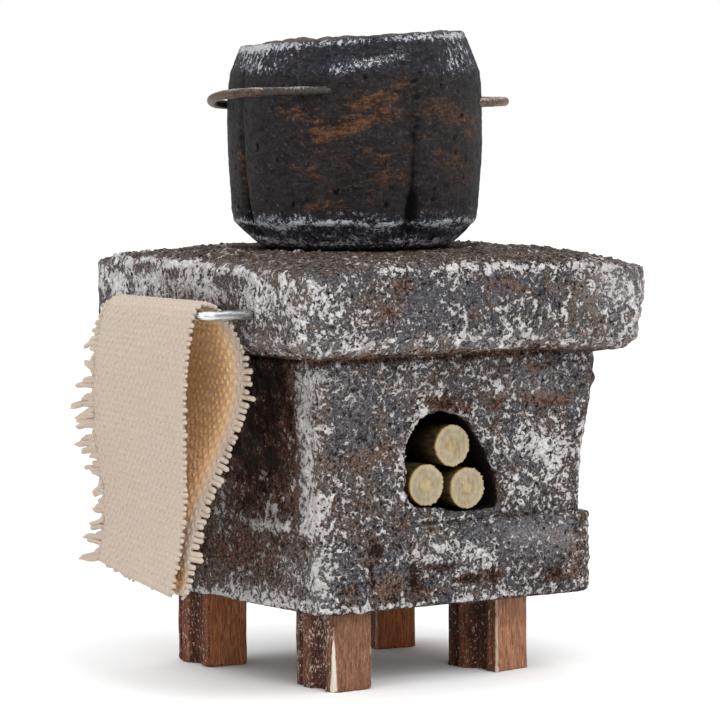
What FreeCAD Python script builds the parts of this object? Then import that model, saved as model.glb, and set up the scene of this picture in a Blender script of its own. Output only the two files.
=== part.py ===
import FreeCAD, Part
import math
import os

os.makedirs("parts", exist_ok=True)
V = FreeCAD.Vector

# Millimetres, +Z up. The origin lies on the floor, under the middle of the
# whole object's bounding box. The fire opening faces -Y, the towel hangs on -X.
SX = 4.35            # middle of the stove body in X (the towel side sticks out)
SY = 0.0             # middle of the stove body in Y

# ---- heights of the courses -------------------------------------------------
Z_LEG = 7.5          # underside of the base course
Z_BASE = 15.5        # top of the base course
Z_BODY = 31.8        # top of the hearth body, underside of the worktop slab
Z_EDGE = 40.77       # worktop height where the rounded edge begins
Z_SEAT = 41.27       # raised flat seat under the pot

# ---- base course ------------------------------------------------------------
BASE_X0, BASE_X1 = -15.85, 16.55
BASE_Y = 14.85       # half depth
BASE_R = 1.4         # upright corners

# ---- hearth body: left, right, half depth at four heights ---------------------
BODY = [(15.5, -15.35, 15.70, 14.35),
        (21.0, -15.40, 15.75, 14.40),
        (26.6, -15.60, 16.65, 14.80),
        (31.8, -15.75, 17.00, 15.00)]
BODY_R = 1.3

# ---- fire opening -----------------------------------------------------------
FIRE_DEPTH_Y = -1.4  # back wall of the niche
FIRE_FLOOR = [(-4.85, 17.15), (-2.2, 16.98), (0.3, 16.44), (5.35, 16.42)]
FIRE_ARCH = [(5.35, 16.42), (5.08, 19.30), (3.66, 22.40), (1.34, 25.24),
             (0.10, 26.18), (-1.10, 26.54), (-2.60, 26.50), (-3.78, 26.06),
             (-4.92, 25.12), (-5.64, 24.00), (-6.00, 21.90), (-5.84, 20.00),
             (-5.82, 18.50), (-4.85, 17.15)]

# ---- worktop slab -----------------------------------------------------------
SLAB_X = 20.3
SLAB_Y = 19.6
SLAB_R = 3.0         # upright corners
SLAB_TOP_R = 2.2
SLAB_BOT_R = 2.7
SEAT_R = 11.4        # flat seat, then the top falls away to the edges
DOME_R = 72.0

# ---- legs: a fluted strip, 4.4 wide and 7.0 deep ------------------------------
LEG_W = 4.4
LEG_D = 7.0
LEGS = {             # front left corner x, y and small turn in degrees
    "leg_front_left": (-13.40, -13.45, 1.3),
    "leg_front_right": (6.80, -11.93, 11.0),
    "leg_rear_left": (-14.20, 7.20, -2.3),
    "leg_rear_right": (6.10, 7.60, -11.3),
}

# ---- firewood ---------------------------------------------------------------
LOG_R = 2.03
LOG_L = 12.0
LOG_Y = -13.8        # sawn front ends
LOGS = {
    "log_lower_left": (-2.90, 19.08),
    "log_lower_right": (1.92, 18.52),
    "log_upper": (0.18, 22.72),
}

# ---- pot --------------------------------------------------------------------
POT_X, POT_Y = -1.03, 0.63
RIM_DIR = (0.822, -0.569)     # the rim climbs in this direction
RIM_Z = 61.62
RIM_SLOPE = 0.0628
POT_OUT = [(0.0, 41.27), (8.7, 41.27), (9.4, 41.55), (10.85, 42.9),
           (11.8, 44.0), (12.05, 45.6), (12.38, 50.7), (12.40, 55.3),
           (12.12, 58.4), (11.40, 60.3), (10.75, 61.8), (10.35, 63.2)]
POT_BORE_R = 9.5
POT_FLOOR = 46.0
GROOVE_R = 0.85      # four upright creases between the lobes
FILL_RISE = 0.30     # the filling stands this much over the rim

# ---- pot handles ------------------------------------------------------------
WIRE_R = 0.48
HANDLES = {          # ring centre offset, ring radius, height, tilt about X
    "pot_handle_left": (-6.4, 8.6, 55.55, -4.5),
    "pot_handle_right": (7.3, 8.6, 55.25, 1.2),
}
HANDLE_IN = 10.9     # the wire ends this far from the pot's axis

# ---- towel rail -------------------------------------------------------------
RAIL_X = -25.40      # bar; the towel's weight hangs straight below it
RAIL_Z = 35.85
RAIL_Y0, RAIL_Y1 = -10.0, 8.4
RAIL_BEND = 0.95
RAIL_END = -16.3     # wire ends inside the slab

# ---- towel ------------------------------------------------------------------
TOWEL_Y0, TOWEL_Y1 = -9.2, 7.0
T = 0.8
T_OUT = [(-29.00, 9.6), (-28.72, 11.0), (-28.18, 13.2), (-27.76, 15.3),
         (-27.52, 17.5), (-27.40, 19.5), (-27.42, 21.5), (-27.50, 24.0),
         (-27.55, 27.0), (-27.55, 30.0), (-27.50, 32.5), (-27.42, 34.6),
         (-27.05, 36.3), (-25.95, 37.35), (-24.60, 37.42), (-23.20, 36.70),
         (-22.15, 35.25), (-21.30, 32.6), (-21.00, 30.4), (-21.10, 28.7),
         (-21.42, 27.0), (-22.10, 25.0), (-22.75, 23.5), (-23.95, 21.3),
         (-25.20, 18.7), (-25.80, 17.0), (-26.22, 15.2), (-26.72, 13.2),
         (-27.35, 11.0), (-27.70, 9.6)]
T_IN = [(-26.62, 17.6), (-26.62, 19.5), (-26.64, 21.5), (-26.70, 24.0),
        (-26.75, 27.0), (-26.75, 30.0), (-26.70, 32.5), (-26.68, 34.6),
        (-26.55, 35.75), (-25.95, 36.62), (-24.75, 36.62), (-23.75, 36.05),
        (-22.88, 34.90), (-22.08, 32.4), (-21.80, 30.4), (-21.90, 28.8),
        (-22.20, 27.2), (-22.86, 25.3), (-23.45, 23.9), (-24.62, 21.7),
        (-25.80, 19.3), (-26.62, 17.6)]
TOWEL_CUT = ((-9.2, 9.75), (7.0, 11.3))   # slanting lower edge: y, z


def put(shape, name):
    """Place a finished solid in the final frame and write it."""
    s = shape.copy()
    if s.ShapeType != "Solid":
        solids = s.Solids
        solids.sort(key=lambda q: -q.Volume)
        s = solids[0]
    s.translate(V(SX, SY, 0))
    s.exportStep("parts/%s.step" % name)
    return s


def rounded_rect(x0, x1, y0, y1, r, z):
    k = r * (1 - math.sqrt(0.5))
    p = [V(x0 + r, y0, z), V(x1 - r, y0, z), V(x1, y0 + r, z), V(x1, y1 - r, z),
         V(x1 - r, y1, z), V(x0 + r, y1, z), V(x0, y1 - r, z), V(x0, y0 + r, z)]
    m = [V(x1 - k, y0 + k, z), V(x1 - k, y1 - k, z),
         V(x0 + k, y1 - k, z), V(x0 + k, y0 + k, z)]
    e = [Part.makeLine(p[0], p[1]), Part.Arc(p[1], m[0], p[2]).toShape(),
         Part.makeLine(p[2], p[3]), Part.Arc(p[3], m[1], p[4]).toShape(),
         Part.makeLine(p[4], p[5]), Part.Arc(p[5], m[2], p[6]).toShape(),
         Part.makeLine(p[6], p[7]), Part.Arc(p[7], m[3], p[0]).toShape()]
    return Part.Wire(e)


def rounded_block(x0, x1, y0, y1, z0, z1, r, r_top, r_bot):
    f = Part.Face(rounded_rect(x0, x1, y0, y1, r, z0))
    b = f.extrude(V(0, 0, z1 - z0))
    top = [e for e in b.Edges if all(abs(v.Z - z1) < 1e-6 for v in e.Vertexes)]
    bot = [e for e in b.Edges if all(abs(v.Z - z0) < 1e-6 for v in e.Vertexes)]
    if r_top:
        b = b.makeFillet(r_top, top)
        bot = [e for e in b.Edges if all(abs(v.Z - z0) < 1e-6 for v in e.Vertexes)]
    if r_bot:
        b = b.makeFillet(r_bot, bot)
    return b


def spline(points):
    c = Part.BSplineCurve()
    c.interpolate(points)
    return c.toShape()


# ---- base course: a plastered block with carved joints on its front -------------
base = rounded_block(BASE_X0, BASE_X1, -BASE_Y, BASE_Y, Z_LEG, Z_BASE,
                     BASE_R, 0.45, 0.8)
for gx, gw, gz in ((-10.1, 0.55, Z_BASE + 1), (-5.4, 0.50, Z_BASE + 1),
                   (4.2, 0.40, 12.2)):
    tri = Part.makePolygon([V(gx - gw / 2, -BASE_Y - 0.2, Z_LEG - 1),
                            V(gx + gw / 2, -BASE_Y - 0.2, Z_LEG - 1),
                            V(gx, -BASE_Y + 0.55, Z_LEG - 1),
                            V(gx - gw / 2, -BASE_Y - 0.2, Z_LEG - 1)])
    base = base.cut(Part.Face(tri).extrude(V(0, 0, gz - Z_LEG + 1)))
base = base.cut(Part.makeSphere(0.95, V(-9.3, -BASE_Y - 0.25, 13.4)))
course = Part.makePolygon([V(-6.5, -BASE_Y - 0.2, 12.0), V(-6.5, -BASE_Y - 0.2, 12.4),
                           V(-6.5, -BASE_Y + 0.35, 12.2), V(-6.5, -BASE_Y - 0.2, 12.0)])
base = base.cut(Part.Face(course).extrude(V(23.5, 0, 0)))
put(base, "base_course")

# ---- hearth body with the fire niche ---------------------------------------------
wires = [rounded_rect(l, r, -d, d, BODY_R, z) for z, l, r, d in BODY]
body = Part.makeLoft(wires, True, True)
y_front = -17.0
floor = Part.makePolygon([V(x, y_front, z) for x, z in FIRE_FLOOR])
arch = spline([V(x, y_front, z) for x, z in FIRE_ARCH])
niche = Part.Face(Part.Wire(floor.Edges + [arch]))
niche = niche.extrude(V(0, FIRE_DEPTH_Y - y_front, 0))
body = body.cut(niche)
put(body, "hearth_body")

# ---- worktop slab: thick, round-edged, a little higher under the pot ---------------
slab = rounded_block(-SLAB_X, SLAB_X, -SLAB_Y, SLAB_Y, Z_BODY, Z_SEAT,
                     SLAB_R, SLAB_TOP_R, SLAB_BOT_R)
r1 = 40.0
rm = (SEAT_R + r1) / 2


def dome_z(r):
    return Z_SEAT - DOME_R + math.sqrt(DOME_R ** 2 - (r - SEAT_R) ** 2)


prof = Part.Wire([
    Part.makeLine(V(0, 0, Z_BODY - 2), V(r1, 0, Z_BODY - 2)),
    Part.makeLine(V(r1, 0, Z_BODY - 2), V(r1, 0, dome_z(r1))),
    Part.Arc(V(r1, 0, dome_z(r1)), V(rm, 0, dome_z(rm)), V(SEAT_R, 0, Z_SEAT)).toShape(),
    Part.makeLine(V(SEAT_R, 0, Z_SEAT), V(0, 0, Z_SEAT)),
    Part.makeLine(V(0, 0, Z_SEAT), V(0, 0, Z_BODY - 2))])
dome = Part.Face(prof).revolve(V(0, 0, 0), V(0, 0, 1), 360)
dome.translate(V(POT_X, POT_Y, 0))
slab = slab.common(dome)

# ---- towel rail: one bent wire, both ends set in the slab's left edge --------------
b = RAIL_BEND
k = b * (1 - math.sqrt(0.5))
path = Part.Wire([
    Part.makeLine(V(RAIL_END, RAIL_Y0, RAIL_Z), V(RAIL_X + b, RAIL_Y0, RAIL_Z)),
    Part.Arc(V(RAIL_X + b, RAIL_Y0, RAIL_Z), V(RAIL_X + k, RAIL_Y0 + k, RAIL_Z),
             V(RAIL_X, RAIL_Y0 + b, RAIL_Z)).toShape(),
    Part.makeLine(V(RAIL_X, RAIL_Y0 + b, RAIL_Z), V(RAIL_X, RAIL_Y1 - b, RAIL_Z)),
    Part.Arc(V(RAIL_X, RAIL_Y1 - b, RAIL_Z), V(RAIL_X + k, RAIL_Y1 - k, RAIL_Z),
             V(RAIL_X + b, RAIL_Y1, RAIL_Z)).toShape(),
    Part.makeLine(V(RAIL_X + b, RAIL_Y1, RAIL_Z), V(RAIL_END, RAIL_Y1, RAIL_Z))])
ring = Part.Wire([Part.makeCircle(WIRE_R, V(RAIL_END, RAIL_Y0, RAIL_Z), V(1, 0, 0))])
rail = path.makePipeShell([ring], True, False)
put(rail, "towel_rail")
for y in (RAIL_Y0, RAIL_Y1):
    slab = slab.cut(Part.makeCylinder(WIRE_R, RAIL_END + SLAB_X + 1.0,
                                      V(-SLAB_X - 1.0, y, RAIL_Z), V(1, 0, 0)))
put(slab, "top_slab")

# ---- legs ----------------------------------------------------------------------------


def leg_profile():
    """Section of the strip; the fluted face is on the -X side."""
    e = [Part.makeLine(V(0, 0, 0), V(LEG_W, 0, 0)),
         Part.makeLine(V(LEG_W, 0, 0), V(LEG_W, LEG_D, 0)),
         Part.makeLine(V(LEG_W, LEG_D, 0), V(0.55, LEG_D, 0)),
         Part.makeLine(V(0.55, LEG_D, 0), V(0.45, 6.2, 0)),
         Part.Arc(V(0.45, 6.2, 0), V(0.62, 5.6, 0), V(0.0, 5.05, 0)).toShape(),
         Part.makeLine(V(0.0, 5.05, 0), V(0.0, 4.10, 0)),
         Part.Arc(V(0.0, 4.10, 0), V(0.72, 2.7, 0), V(0.0, 1.20, 0)).toShape(),
         Part.makeLine(V(0.0, 1.20, 0), V(0, 0, 0))]
    return Part.Face(Part.Wire(e))


for name, (x, y, turn) in LEGS.items():
    leg = leg_profile().extrude(V(0, 0, Z_LEG))
    if name == "leg_front_left":
        # a sliver is split off the outer corner, widest at the foot
        lo = [V(-0.6, -0.6, -1), V(1.87, -0.6, -1), V(-0.6, 0.88, -1)]
        hi = [V(-0.6, -0.6, 5.8), V(1.05, -0.6, 5.8), V(-0.6, 0.39, 5.8)]
        sides = [[lo[i], lo[(i + 1) % 3], hi[(i + 1) % 3], hi[i]] for i in range(3)]
        faces = [Part.Face(Part.makePolygon(q + q[:1])) for q in (lo, hi)]
        for a0, a1, b1, b0 in sides:
            faces.append(Part.Face(Part.makePolygon([a0, a1, b1, a0])))
            faces.append(Part.Face(Part.makePolygon([a0, b1, b0, a0])))
        sliver = Part.Solid(Part.Shell(faces))
        if sliver.Volume < 0:
            sliver.reverse()
        leg = leg.cut(sliver)
    else:
        c = 0.16
        tri = Part.makePolygon([V(-c, -c, -1), V(2 * c, -c, -1), V(-c, 2 * c, -1),
                                V(-c, -c, -1)])
        leg = leg.cut(Part.Face(tri).extrude(V(0, 0, Z_LEG + 2)))
    leg.rotate(V(0, 0, 0), V(0, 0, 1), turn)
    leg.translate(V(x, y, 0))
    put(leg, name)

# ---- firewood ---------------------------------------------------------------------------
for name, (x, z) in LOGS.items():
    log = Part.makeCylinder(LOG_R, LOG_L, V(x, LOG_Y, z), V(0, 1, 0))
    ends = [e for e in log.Edges if isinstance(e.Curve, Part.Circle)]
    log = log.makeChamfer(0.14, ends)
    put(log, name)

# ---- pot: four soft lobes, chamfered foot and shoulder, sloping rim ---------------------


def rim_cutter(rise):
    """Everything above the sloping rim plane raised by `rise`."""
    big = Part.makeBox(60, 60, 20, V(-30, -30, 0))
    ax = V(-RIM_DIR[1], RIM_DIR[0], 0)
    big.rotate(V(0, 0, 0), ax, -math.degrees(math.atan(RIM_SLOPE)))
    big.translate(V(POT_X, POT_Y, RIM_Z + rise))
    return big


pts = [V(r, 0, z) for r, z in POT_OUT]
edges = [Part.makeLine(pts[0], pts[1]), Part.makeLine(pts[1], pts[2]),
         Part.makeLine(pts[2], pts[4]),
         spline(pts[4:]),
         Part.makeLine(pts[-1], V(0, 0, pts[-1].z)),
         Part.makeLine(V(0, 0, pts[-1].z), pts[0])]
shell = Part.Face(Part.Wire(edges)).revolve(V(0, 0, 0), V(0, 0, 1), 360)
bore = Part.makeCylinder(POT_BORE_R, 30, V(0, 0, POT_FLOOR))
bore_edge = [e for e in bore.Edges if isinstance(e.Curve, Part.Circle)
             and abs(e.Vertexes[0].Z - POT_FLOOR) < 1e-6]
bore = bore.makeFillet(1.6, bore_edge)
shell = shell.cut(bore)
for a, r_off in ((-96.6, 0.42), (172.0, 0.40), (83.4, 0.40), (-8.0, 0.40)):
    ca, sa = math.cos(math.radians(a)), math.sin(math.radians(a))
    d = 12.4 + GROOVE_R - r_off
    rod = Part.makeCylinder(GROOVE_R, 15.4, V(d * ca, d * sa, 43.2))
    shell = shell.cut(rod)
    # the crease runs out into a wedge-shaped notch in the foot chamfer
    w = Part.makeCone(0.95, 0.25, 3.6, V(12.35 * ca, 12.35 * sa, 43.0))
    shell = shell.cut(w)
shell.translate(V(POT_X, POT_Y, 0))
shell = shell.cut(rim_cutter(0.0))

fill = Part.makeCylinder(POT_BORE_R - 0.02, 30, V(0, 0, POT_FLOOR + 0.02))
fill_edge = [e for e in fill.Edges if isinstance(e.Curve, Part.Circle)
             and e.Vertexes[0].Z < POT_FLOOR + 1]
fill = fill.makeFillet(1.6, fill_edge)
fill.translate(V(POT_X, POT_Y, 0))
fill = fill.cut(rim_cutter(FILL_RISE))
rim_edge = [e for e in fill.Edges
            if e.Vertexes and min(v.Z for v in e.Vertexes) > 60.0
            and e.Length > 20]
fill = fill.makeFillet(0.45, rim_edge)
put(fill, "pot_contents")

# ---- pot handles: wire rings sunk into the wall on the two ends ---------------------------
for name, (off, rr, z, tilt) in HANDLES.items():
    ring = Part.makeTorus(rr, WIRE_R)
    ring.rotate(V(0, 0, 0), V(1, 0, 0), tilt)
    ring.translate(V(POT_X + off, POT_Y, z))
    inner = Part.makeCylinder(HANDLE_IN, 12, V(POT_X, POT_Y, z - 6))
    arc = ring.cut(inner)
    side = -1 if off < 0 else 1
    parts = [s for s in arc.Solids if (s.CenterOfMass.x - POT_X) * side > 0]
    parts.sort(key=lambda q: -q.Volume)
    handle = parts[0]
    shell = shell.cut(handle)
    put(handle, name)
put(shell, "pot_shell")

# ---- towel: one strip folded over the rail, its two ends stuck together --------------------
y0 = TOWEL_Y0
outer = spline([V(x, y0, z) for x, z in T_OUT])
foot = Part.makeLine(V(T_OUT[-1][0], y0, T_OUT[-1][1]), V(T_OUT[0][0], y0, T_OUT[0][1]))
inner = spline([V(x, y0, z) for x, z in T_IN])
face = Part.Face(Part.Wire([outer, foot]))
hole = Part.Face(Part.Wire([inner]))
dy = TOWEL_Y1 - TOWEL_Y0
towel = face.extrude(V(0, dy, 0)).cut(hole.extrude(V(0, dy, 0)))
(ya, za), (yb, zb) = TOWEL_CUT
wedge = Part.makePolygon([V(-32, ya - 1, za - (zb - za) / (yb - ya)), V(-32, yb + 1, zb + (zb - za) / (yb - ya)),
                          V(-32, yb + 1, 5), V(-32, ya - 1, 5),
                          V(-32, ya - 1, za - (zb - za) / (yb - ya))])
towel = towel.cut(Part.Face(wedge).extrude(V(12, 0, 0)))
put(towel, "towel")
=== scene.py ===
import math

import bpy
import numpy as np
from mathutils import Matrix, Vector


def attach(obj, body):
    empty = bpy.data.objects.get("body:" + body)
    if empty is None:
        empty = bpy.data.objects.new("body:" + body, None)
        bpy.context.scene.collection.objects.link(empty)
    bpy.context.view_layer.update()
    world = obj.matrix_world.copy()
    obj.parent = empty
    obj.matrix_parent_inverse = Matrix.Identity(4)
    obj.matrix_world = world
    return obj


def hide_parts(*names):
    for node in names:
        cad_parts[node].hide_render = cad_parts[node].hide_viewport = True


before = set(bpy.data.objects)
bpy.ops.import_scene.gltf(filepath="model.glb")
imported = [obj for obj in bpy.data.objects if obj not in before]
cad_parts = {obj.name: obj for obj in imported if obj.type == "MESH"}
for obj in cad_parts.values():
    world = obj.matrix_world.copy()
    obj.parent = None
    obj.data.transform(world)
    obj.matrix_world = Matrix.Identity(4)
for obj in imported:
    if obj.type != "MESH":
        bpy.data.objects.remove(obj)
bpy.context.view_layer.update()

# Everything below is worked out in millimetres, centred on the stove body, and
# goes to metres in the shared frame when a mesh is made.
SX = 4.35
MM = 0.001


# ------------------------------------------------------------------ noise
_rng = np.random.RandomState(7)
_PERM = _rng.permutation(256)
_GRAD = _rng.normal(size=(256, 3))
_GRAD /= np.linalg.norm(_GRAD, axis=1)[:, None]


def gn(P, seed=0):
    """Gradient noise, about -1 to 1, one cell per unit."""
    p = P + np.array([seed * 13.7 + 0.31, seed * 7.1 + 0.77, seed * 3.3 + 0.13])
    i = np.floor(p).astype(np.int64)
    f = p - i
    u = f * f * f * (f * (f * 6 - 15) + 10)
    out = np.zeros(len(p))
    for dx in (0, 1):
        wx = u[:, 0] if dx else 1 - u[:, 0]
        hx = _PERM[(i[:, 0] + dx) & 255]
        for dy in (0, 1):
            wy = u[:, 1] if dy else 1 - u[:, 1]
            hy = _PERM[(hx + i[:, 1] + dy) & 255]
            for dz in (0, 1):
                wz = u[:, 2] if dz else 1 - u[:, 2]
                g = _GRAD[_PERM[(hy + i[:, 2] + dz) & 255]]
                d = g[:, 0] * (f[:, 0] - dx) + g[:, 1] * (f[:, 1] - dy) + g[:, 2] * (f[:, 2] - dz)
                out += wx * wy * wz * d
    return out * 1.6


def fbm(P, octaves=3, gain=0.5, seed=0):
    out, amp, tot, k = 0.0, 1.0, 0.0, 1.0
    for o in range(octaves):
        out = out + amp * gn(P * k, seed + 5 * o)
        tot += amp
        amp *= gain
        k *= 2.03
    return out / tot


def _hash(c, seed):
    h = (c[:, 0] * 73856093) ^ (c[:, 1] * 19349663) ^ (c[:, 2] * 83492791) ^ (seed * 2654435 + 97)
    h &= 0xFFFFFFFF
    for _ in range(2):
        h = ((h ^ (h >> 16)) * 0x45D9F3B) & 0xFFFFFFFF
    return h ^ (h >> 16)


def worley(P, seed=0):
    """Distance to the nearest and second nearest scattered point, and a number of its own for it."""
    i = np.floor(P).astype(np.int64)
    b1 = np.full(len(P), 9.0)
    b2 = np.full(len(P), 9.0)
    rid = np.zeros(len(P))
    for dx in (-1, 0, 1):
        for dy in (-1, 0, 1):
            for dz in (-1, 0, 1):
                c = i + np.array([dx, dy, dz])
                h = _hash(c, seed)
                j = np.stack([(h & 1023), (h >> 10) & 1023, (h >> 20) & 1023], 1) / 1023.0
                d = ((P - c - j) ** 2).sum(1)
                m = d < b1
                b2 = np.where(m, b1, np.minimum(b2, d))
                rid = np.where(m, ((h * 7919) & 0xFFFF) / 65535.0, rid)
                b1 = np.where(m, d, b1)
    return np.sqrt(b1), np.sqrt(b2), rid


def sstep(x, a, b):
    t = np.clip((x - a) / (b - a), 0, 1)
    return t * t * (3 - 2 * t)


# ------------------------------------------------------------------ meshes
def mesh_from(name, V, faces, smooth=True):
    """V in metres; faces is a list of integer arrays, one per face size."""
    me = bpy.data.meshes.new(name)
    faces = [np.asarray(f, dtype=np.int32) for f in faces if len(f)]
    sizes = np.concatenate([np.full(len(f), f.shape[1], dtype=np.int32) for f in faces])
    loops = np.concatenate([f.ravel() for f in faces])
    start = np.concatenate([[0], np.cumsum(sizes)[:-1]]).astype(np.int32)
    me.vertices.add(len(V))
    me.vertices.foreach_set("co", np.ascontiguousarray(V, dtype=np.float32).ravel())
    me.loops.add(len(loops))
    me.loops.foreach_set("vertex_index", loops)
    me.polygons.add(len(sizes))
    me.polygons.foreach_set("loop_start", start)
    me.update(calc_edges=True)
    me.polygons.foreach_set("use_smooth", np.full(len(sizes), smooth, dtype=bool))
    me.update()
    return me


def add_object(name, me):
    ob = bpy.data.objects.new(name, me)
    bpy.context.scene.collection.objects.link(ob)
    return ob


def piece(name, V, faces, body, nodes, mat, attrs=None, smooth=True):
    """A finished piece from millimetre points."""
    W = (np.asarray(V, float) + np.array([SX, 0, 0])) * MM
    me = mesh_from(name, W, faces, smooth)
    for key, val in (attrs or {}).items():
        a = me.attributes.new(key, "FLOAT", "POINT")
        a.data.foreach_set("value", np.ascontiguousarray(val, dtype=np.float32))
    me.materials.append(mat)
    ob = add_object(name, me)
    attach(ob, body)
    if nodes:
        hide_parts(*nodes)
    return ob


def node_mesh(name):
    """The CAD solid's points (mm, body centred) and triangles."""
    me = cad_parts[name].data
    V = np.empty(len(me.vertices) * 3)
    me.vertices.foreach_get("co", V)
    V = V.reshape(-1, 3) / MM - np.array([SX, 0, 0])
    me.calc_loop_triangles()
    T = np.empty(len(me.loop_triangles) * 3, dtype=np.int32)
    me.loop_triangles.foreach_get("vertices", T)
    return V, T.reshape(-1, 3)


def even_mesh(name, size):
    """The CAD solid rebuilt as an even quad mesh of about `size` mm."""
    V, T = node_mesh(name)
    ob = add_object("tmp_" + name, mesh_from("tmp_" + name, V, [T]))
    mod = ob.modifiers.new("even", "REMESH")
    mod.mode = "VOXEL"
    mod.voxel_size = size
    mod.adaptivity = 0.0
    dg = bpy.context.evaluated_depsgraph_get()
    me = bpy.data.meshes.new_from_object(ob.evaluated_get(dg))
    old = ob.data
    bpy.data.objects.remove(ob)
    bpy.data.meshes.remove(old)
    W = np.empty(len(me.vertices) * 3)
    me.vertices.foreach_get("co", W)
    n = np.empty(len(me.polygons), dtype=np.int32)
    me.polygons.foreach_get("loop_total", n)
    L = np.empty(len(me.loops), dtype=np.int32)
    me.loops.foreach_get("vertex_index", L)
    F = L.reshape(-1, 4) if (n == 4).all() else None
    bpy.data.meshes.remove(me)
    return W.reshape(-1, 3), F


def scatter(idx, val, n):
    return np.stack([np.bincount(idx, weights=val[:, k], minlength=n) for k in range(3)], 1)


def normals(V, F):
    a, b, c, d = (V[F[:, k]] for k in range(4))
    fn = np.cross(c - a, d - b)
    N = scatter(F.ravel(), np.repeat(fn, 4, axis=0), len(V))
    return N / (np.linalg.norm(N, axis=1)[:, None] + 1e-12)


def relax(V, F, rounds=2, k=0.5):
    E = np.concatenate([F[:, [0, 1]], F[:, [1, 2]], F[:, [2, 3]], F[:, [3, 0]]])
    cnt = np.bincount(E.ravel(), minlength=len(V))[:, None]
    for _ in range(rounds):
        S = scatter(E[:, 0], V[E[:, 1]], len(V)) + scatter(E[:, 1], V[E[:, 0]], len(V))
        V = V + k * (S / cnt - V)
    return V


def relax_value(x, F, rounds=1, k=0.5):
    E = np.concatenate([F[:, [0, 1]], F[:, [1, 2]], F[:, [2, 3]], F[:, [3, 0]]])
    n = len(x)
    cnt = np.bincount(E.ravel(), minlength=n)
    for _ in range(rounds):
        S = np.bincount(E[:, 0], weights=x[E[:, 1]], minlength=n) + np.bincount(E[:, 1], weights=x[E[:, 0]], minlength=n)
        x = x + k * (S / cnt - x)
    return x


def grid_faces(rows, cols, close_cols=True, flip=False):
    """Quads of a rows x cols grid whose columns may close on themselves."""
    r = np.arange(rows - 1)[:, None]
    c = np.arange(cols if close_cols else cols - 1)[None, :]
    c2 = (c + 1) % cols
    a = r * cols + c
    b = r * cols + c2
    d = (r + 1) * cols + c
    e = (r + 1) * cols + c2
    F = np.stack([a.ravel(), b.ravel(), e.ravel(), d.ravel()], 1)
    return F[:, ::-1] if flip else F


def sweep(path, ra, rb, sides, side_dir, caps=True):
    """Tubes along paths. path: (m, n, 3) for m tubes of n points. ra: half size along
    side_dir, rb: half size along the other way; both (m, n) or numbers."""
    path = np.asarray(path, float)
    if path.ndim == 2:
        path = path[None]
    m, n, _ = path.shape
    t = np.gradient(path, axis=1)
    t /= np.linalg.norm(t, axis=2)[..., None] + 1e-12
    s = np.broadcast_to(np.asarray(side_dir, float), path.shape)
    s = s - (s * t).sum(2)[..., None] * t
    s /= np.linalg.norm(s, axis=2)[..., None] + 1e-12
    o = np.cross(t, s)
    ra = np.broadcast_to(np.asarray(ra, float), (m, n))
    rb = np.broadcast_to(np.asarray(rb, float), (m, n))
    th = np.arange(sides) * 2 * np.pi / sides
    P = (path[:, :, None, :] + ra[:, :, None, None] * np.cos(th)[None, None, :, None] * s[:, :, None, :]
         + rb[:, :, None, None] * np.sin(th)[None, None, :, None] * o[:, :, None, :])
    V = P.reshape(-1, 3)
    one = grid_faces(n, sides)
    F = (one[None] + (np.arange(m) * n * sides)[:, None, None]).reshape(-1, 4)
    faces = [F]
    if caps:
        base = (np.arange(m) * n * sides)[:, None]
        faces.append(base + np.arange(sides)[::-1][None])
        faces.append(base + (n - 1) * sides + np.arange(sides)[None])
    return V, faces


def rmf(path, start):
    """A steady side direction along one path (m points)."""
    t = np.gradient(path, axis=0)
    t /= np.linalg.norm(t, axis=1)[:, None]
    s = np.empty_like(path)
    v = np.array(start, float)
    for i in range(len(path)):
        v = v - v.dot(t[i]) * t[i]
        v /= np.linalg.norm(v)
        s[i] = v
    return s


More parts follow.
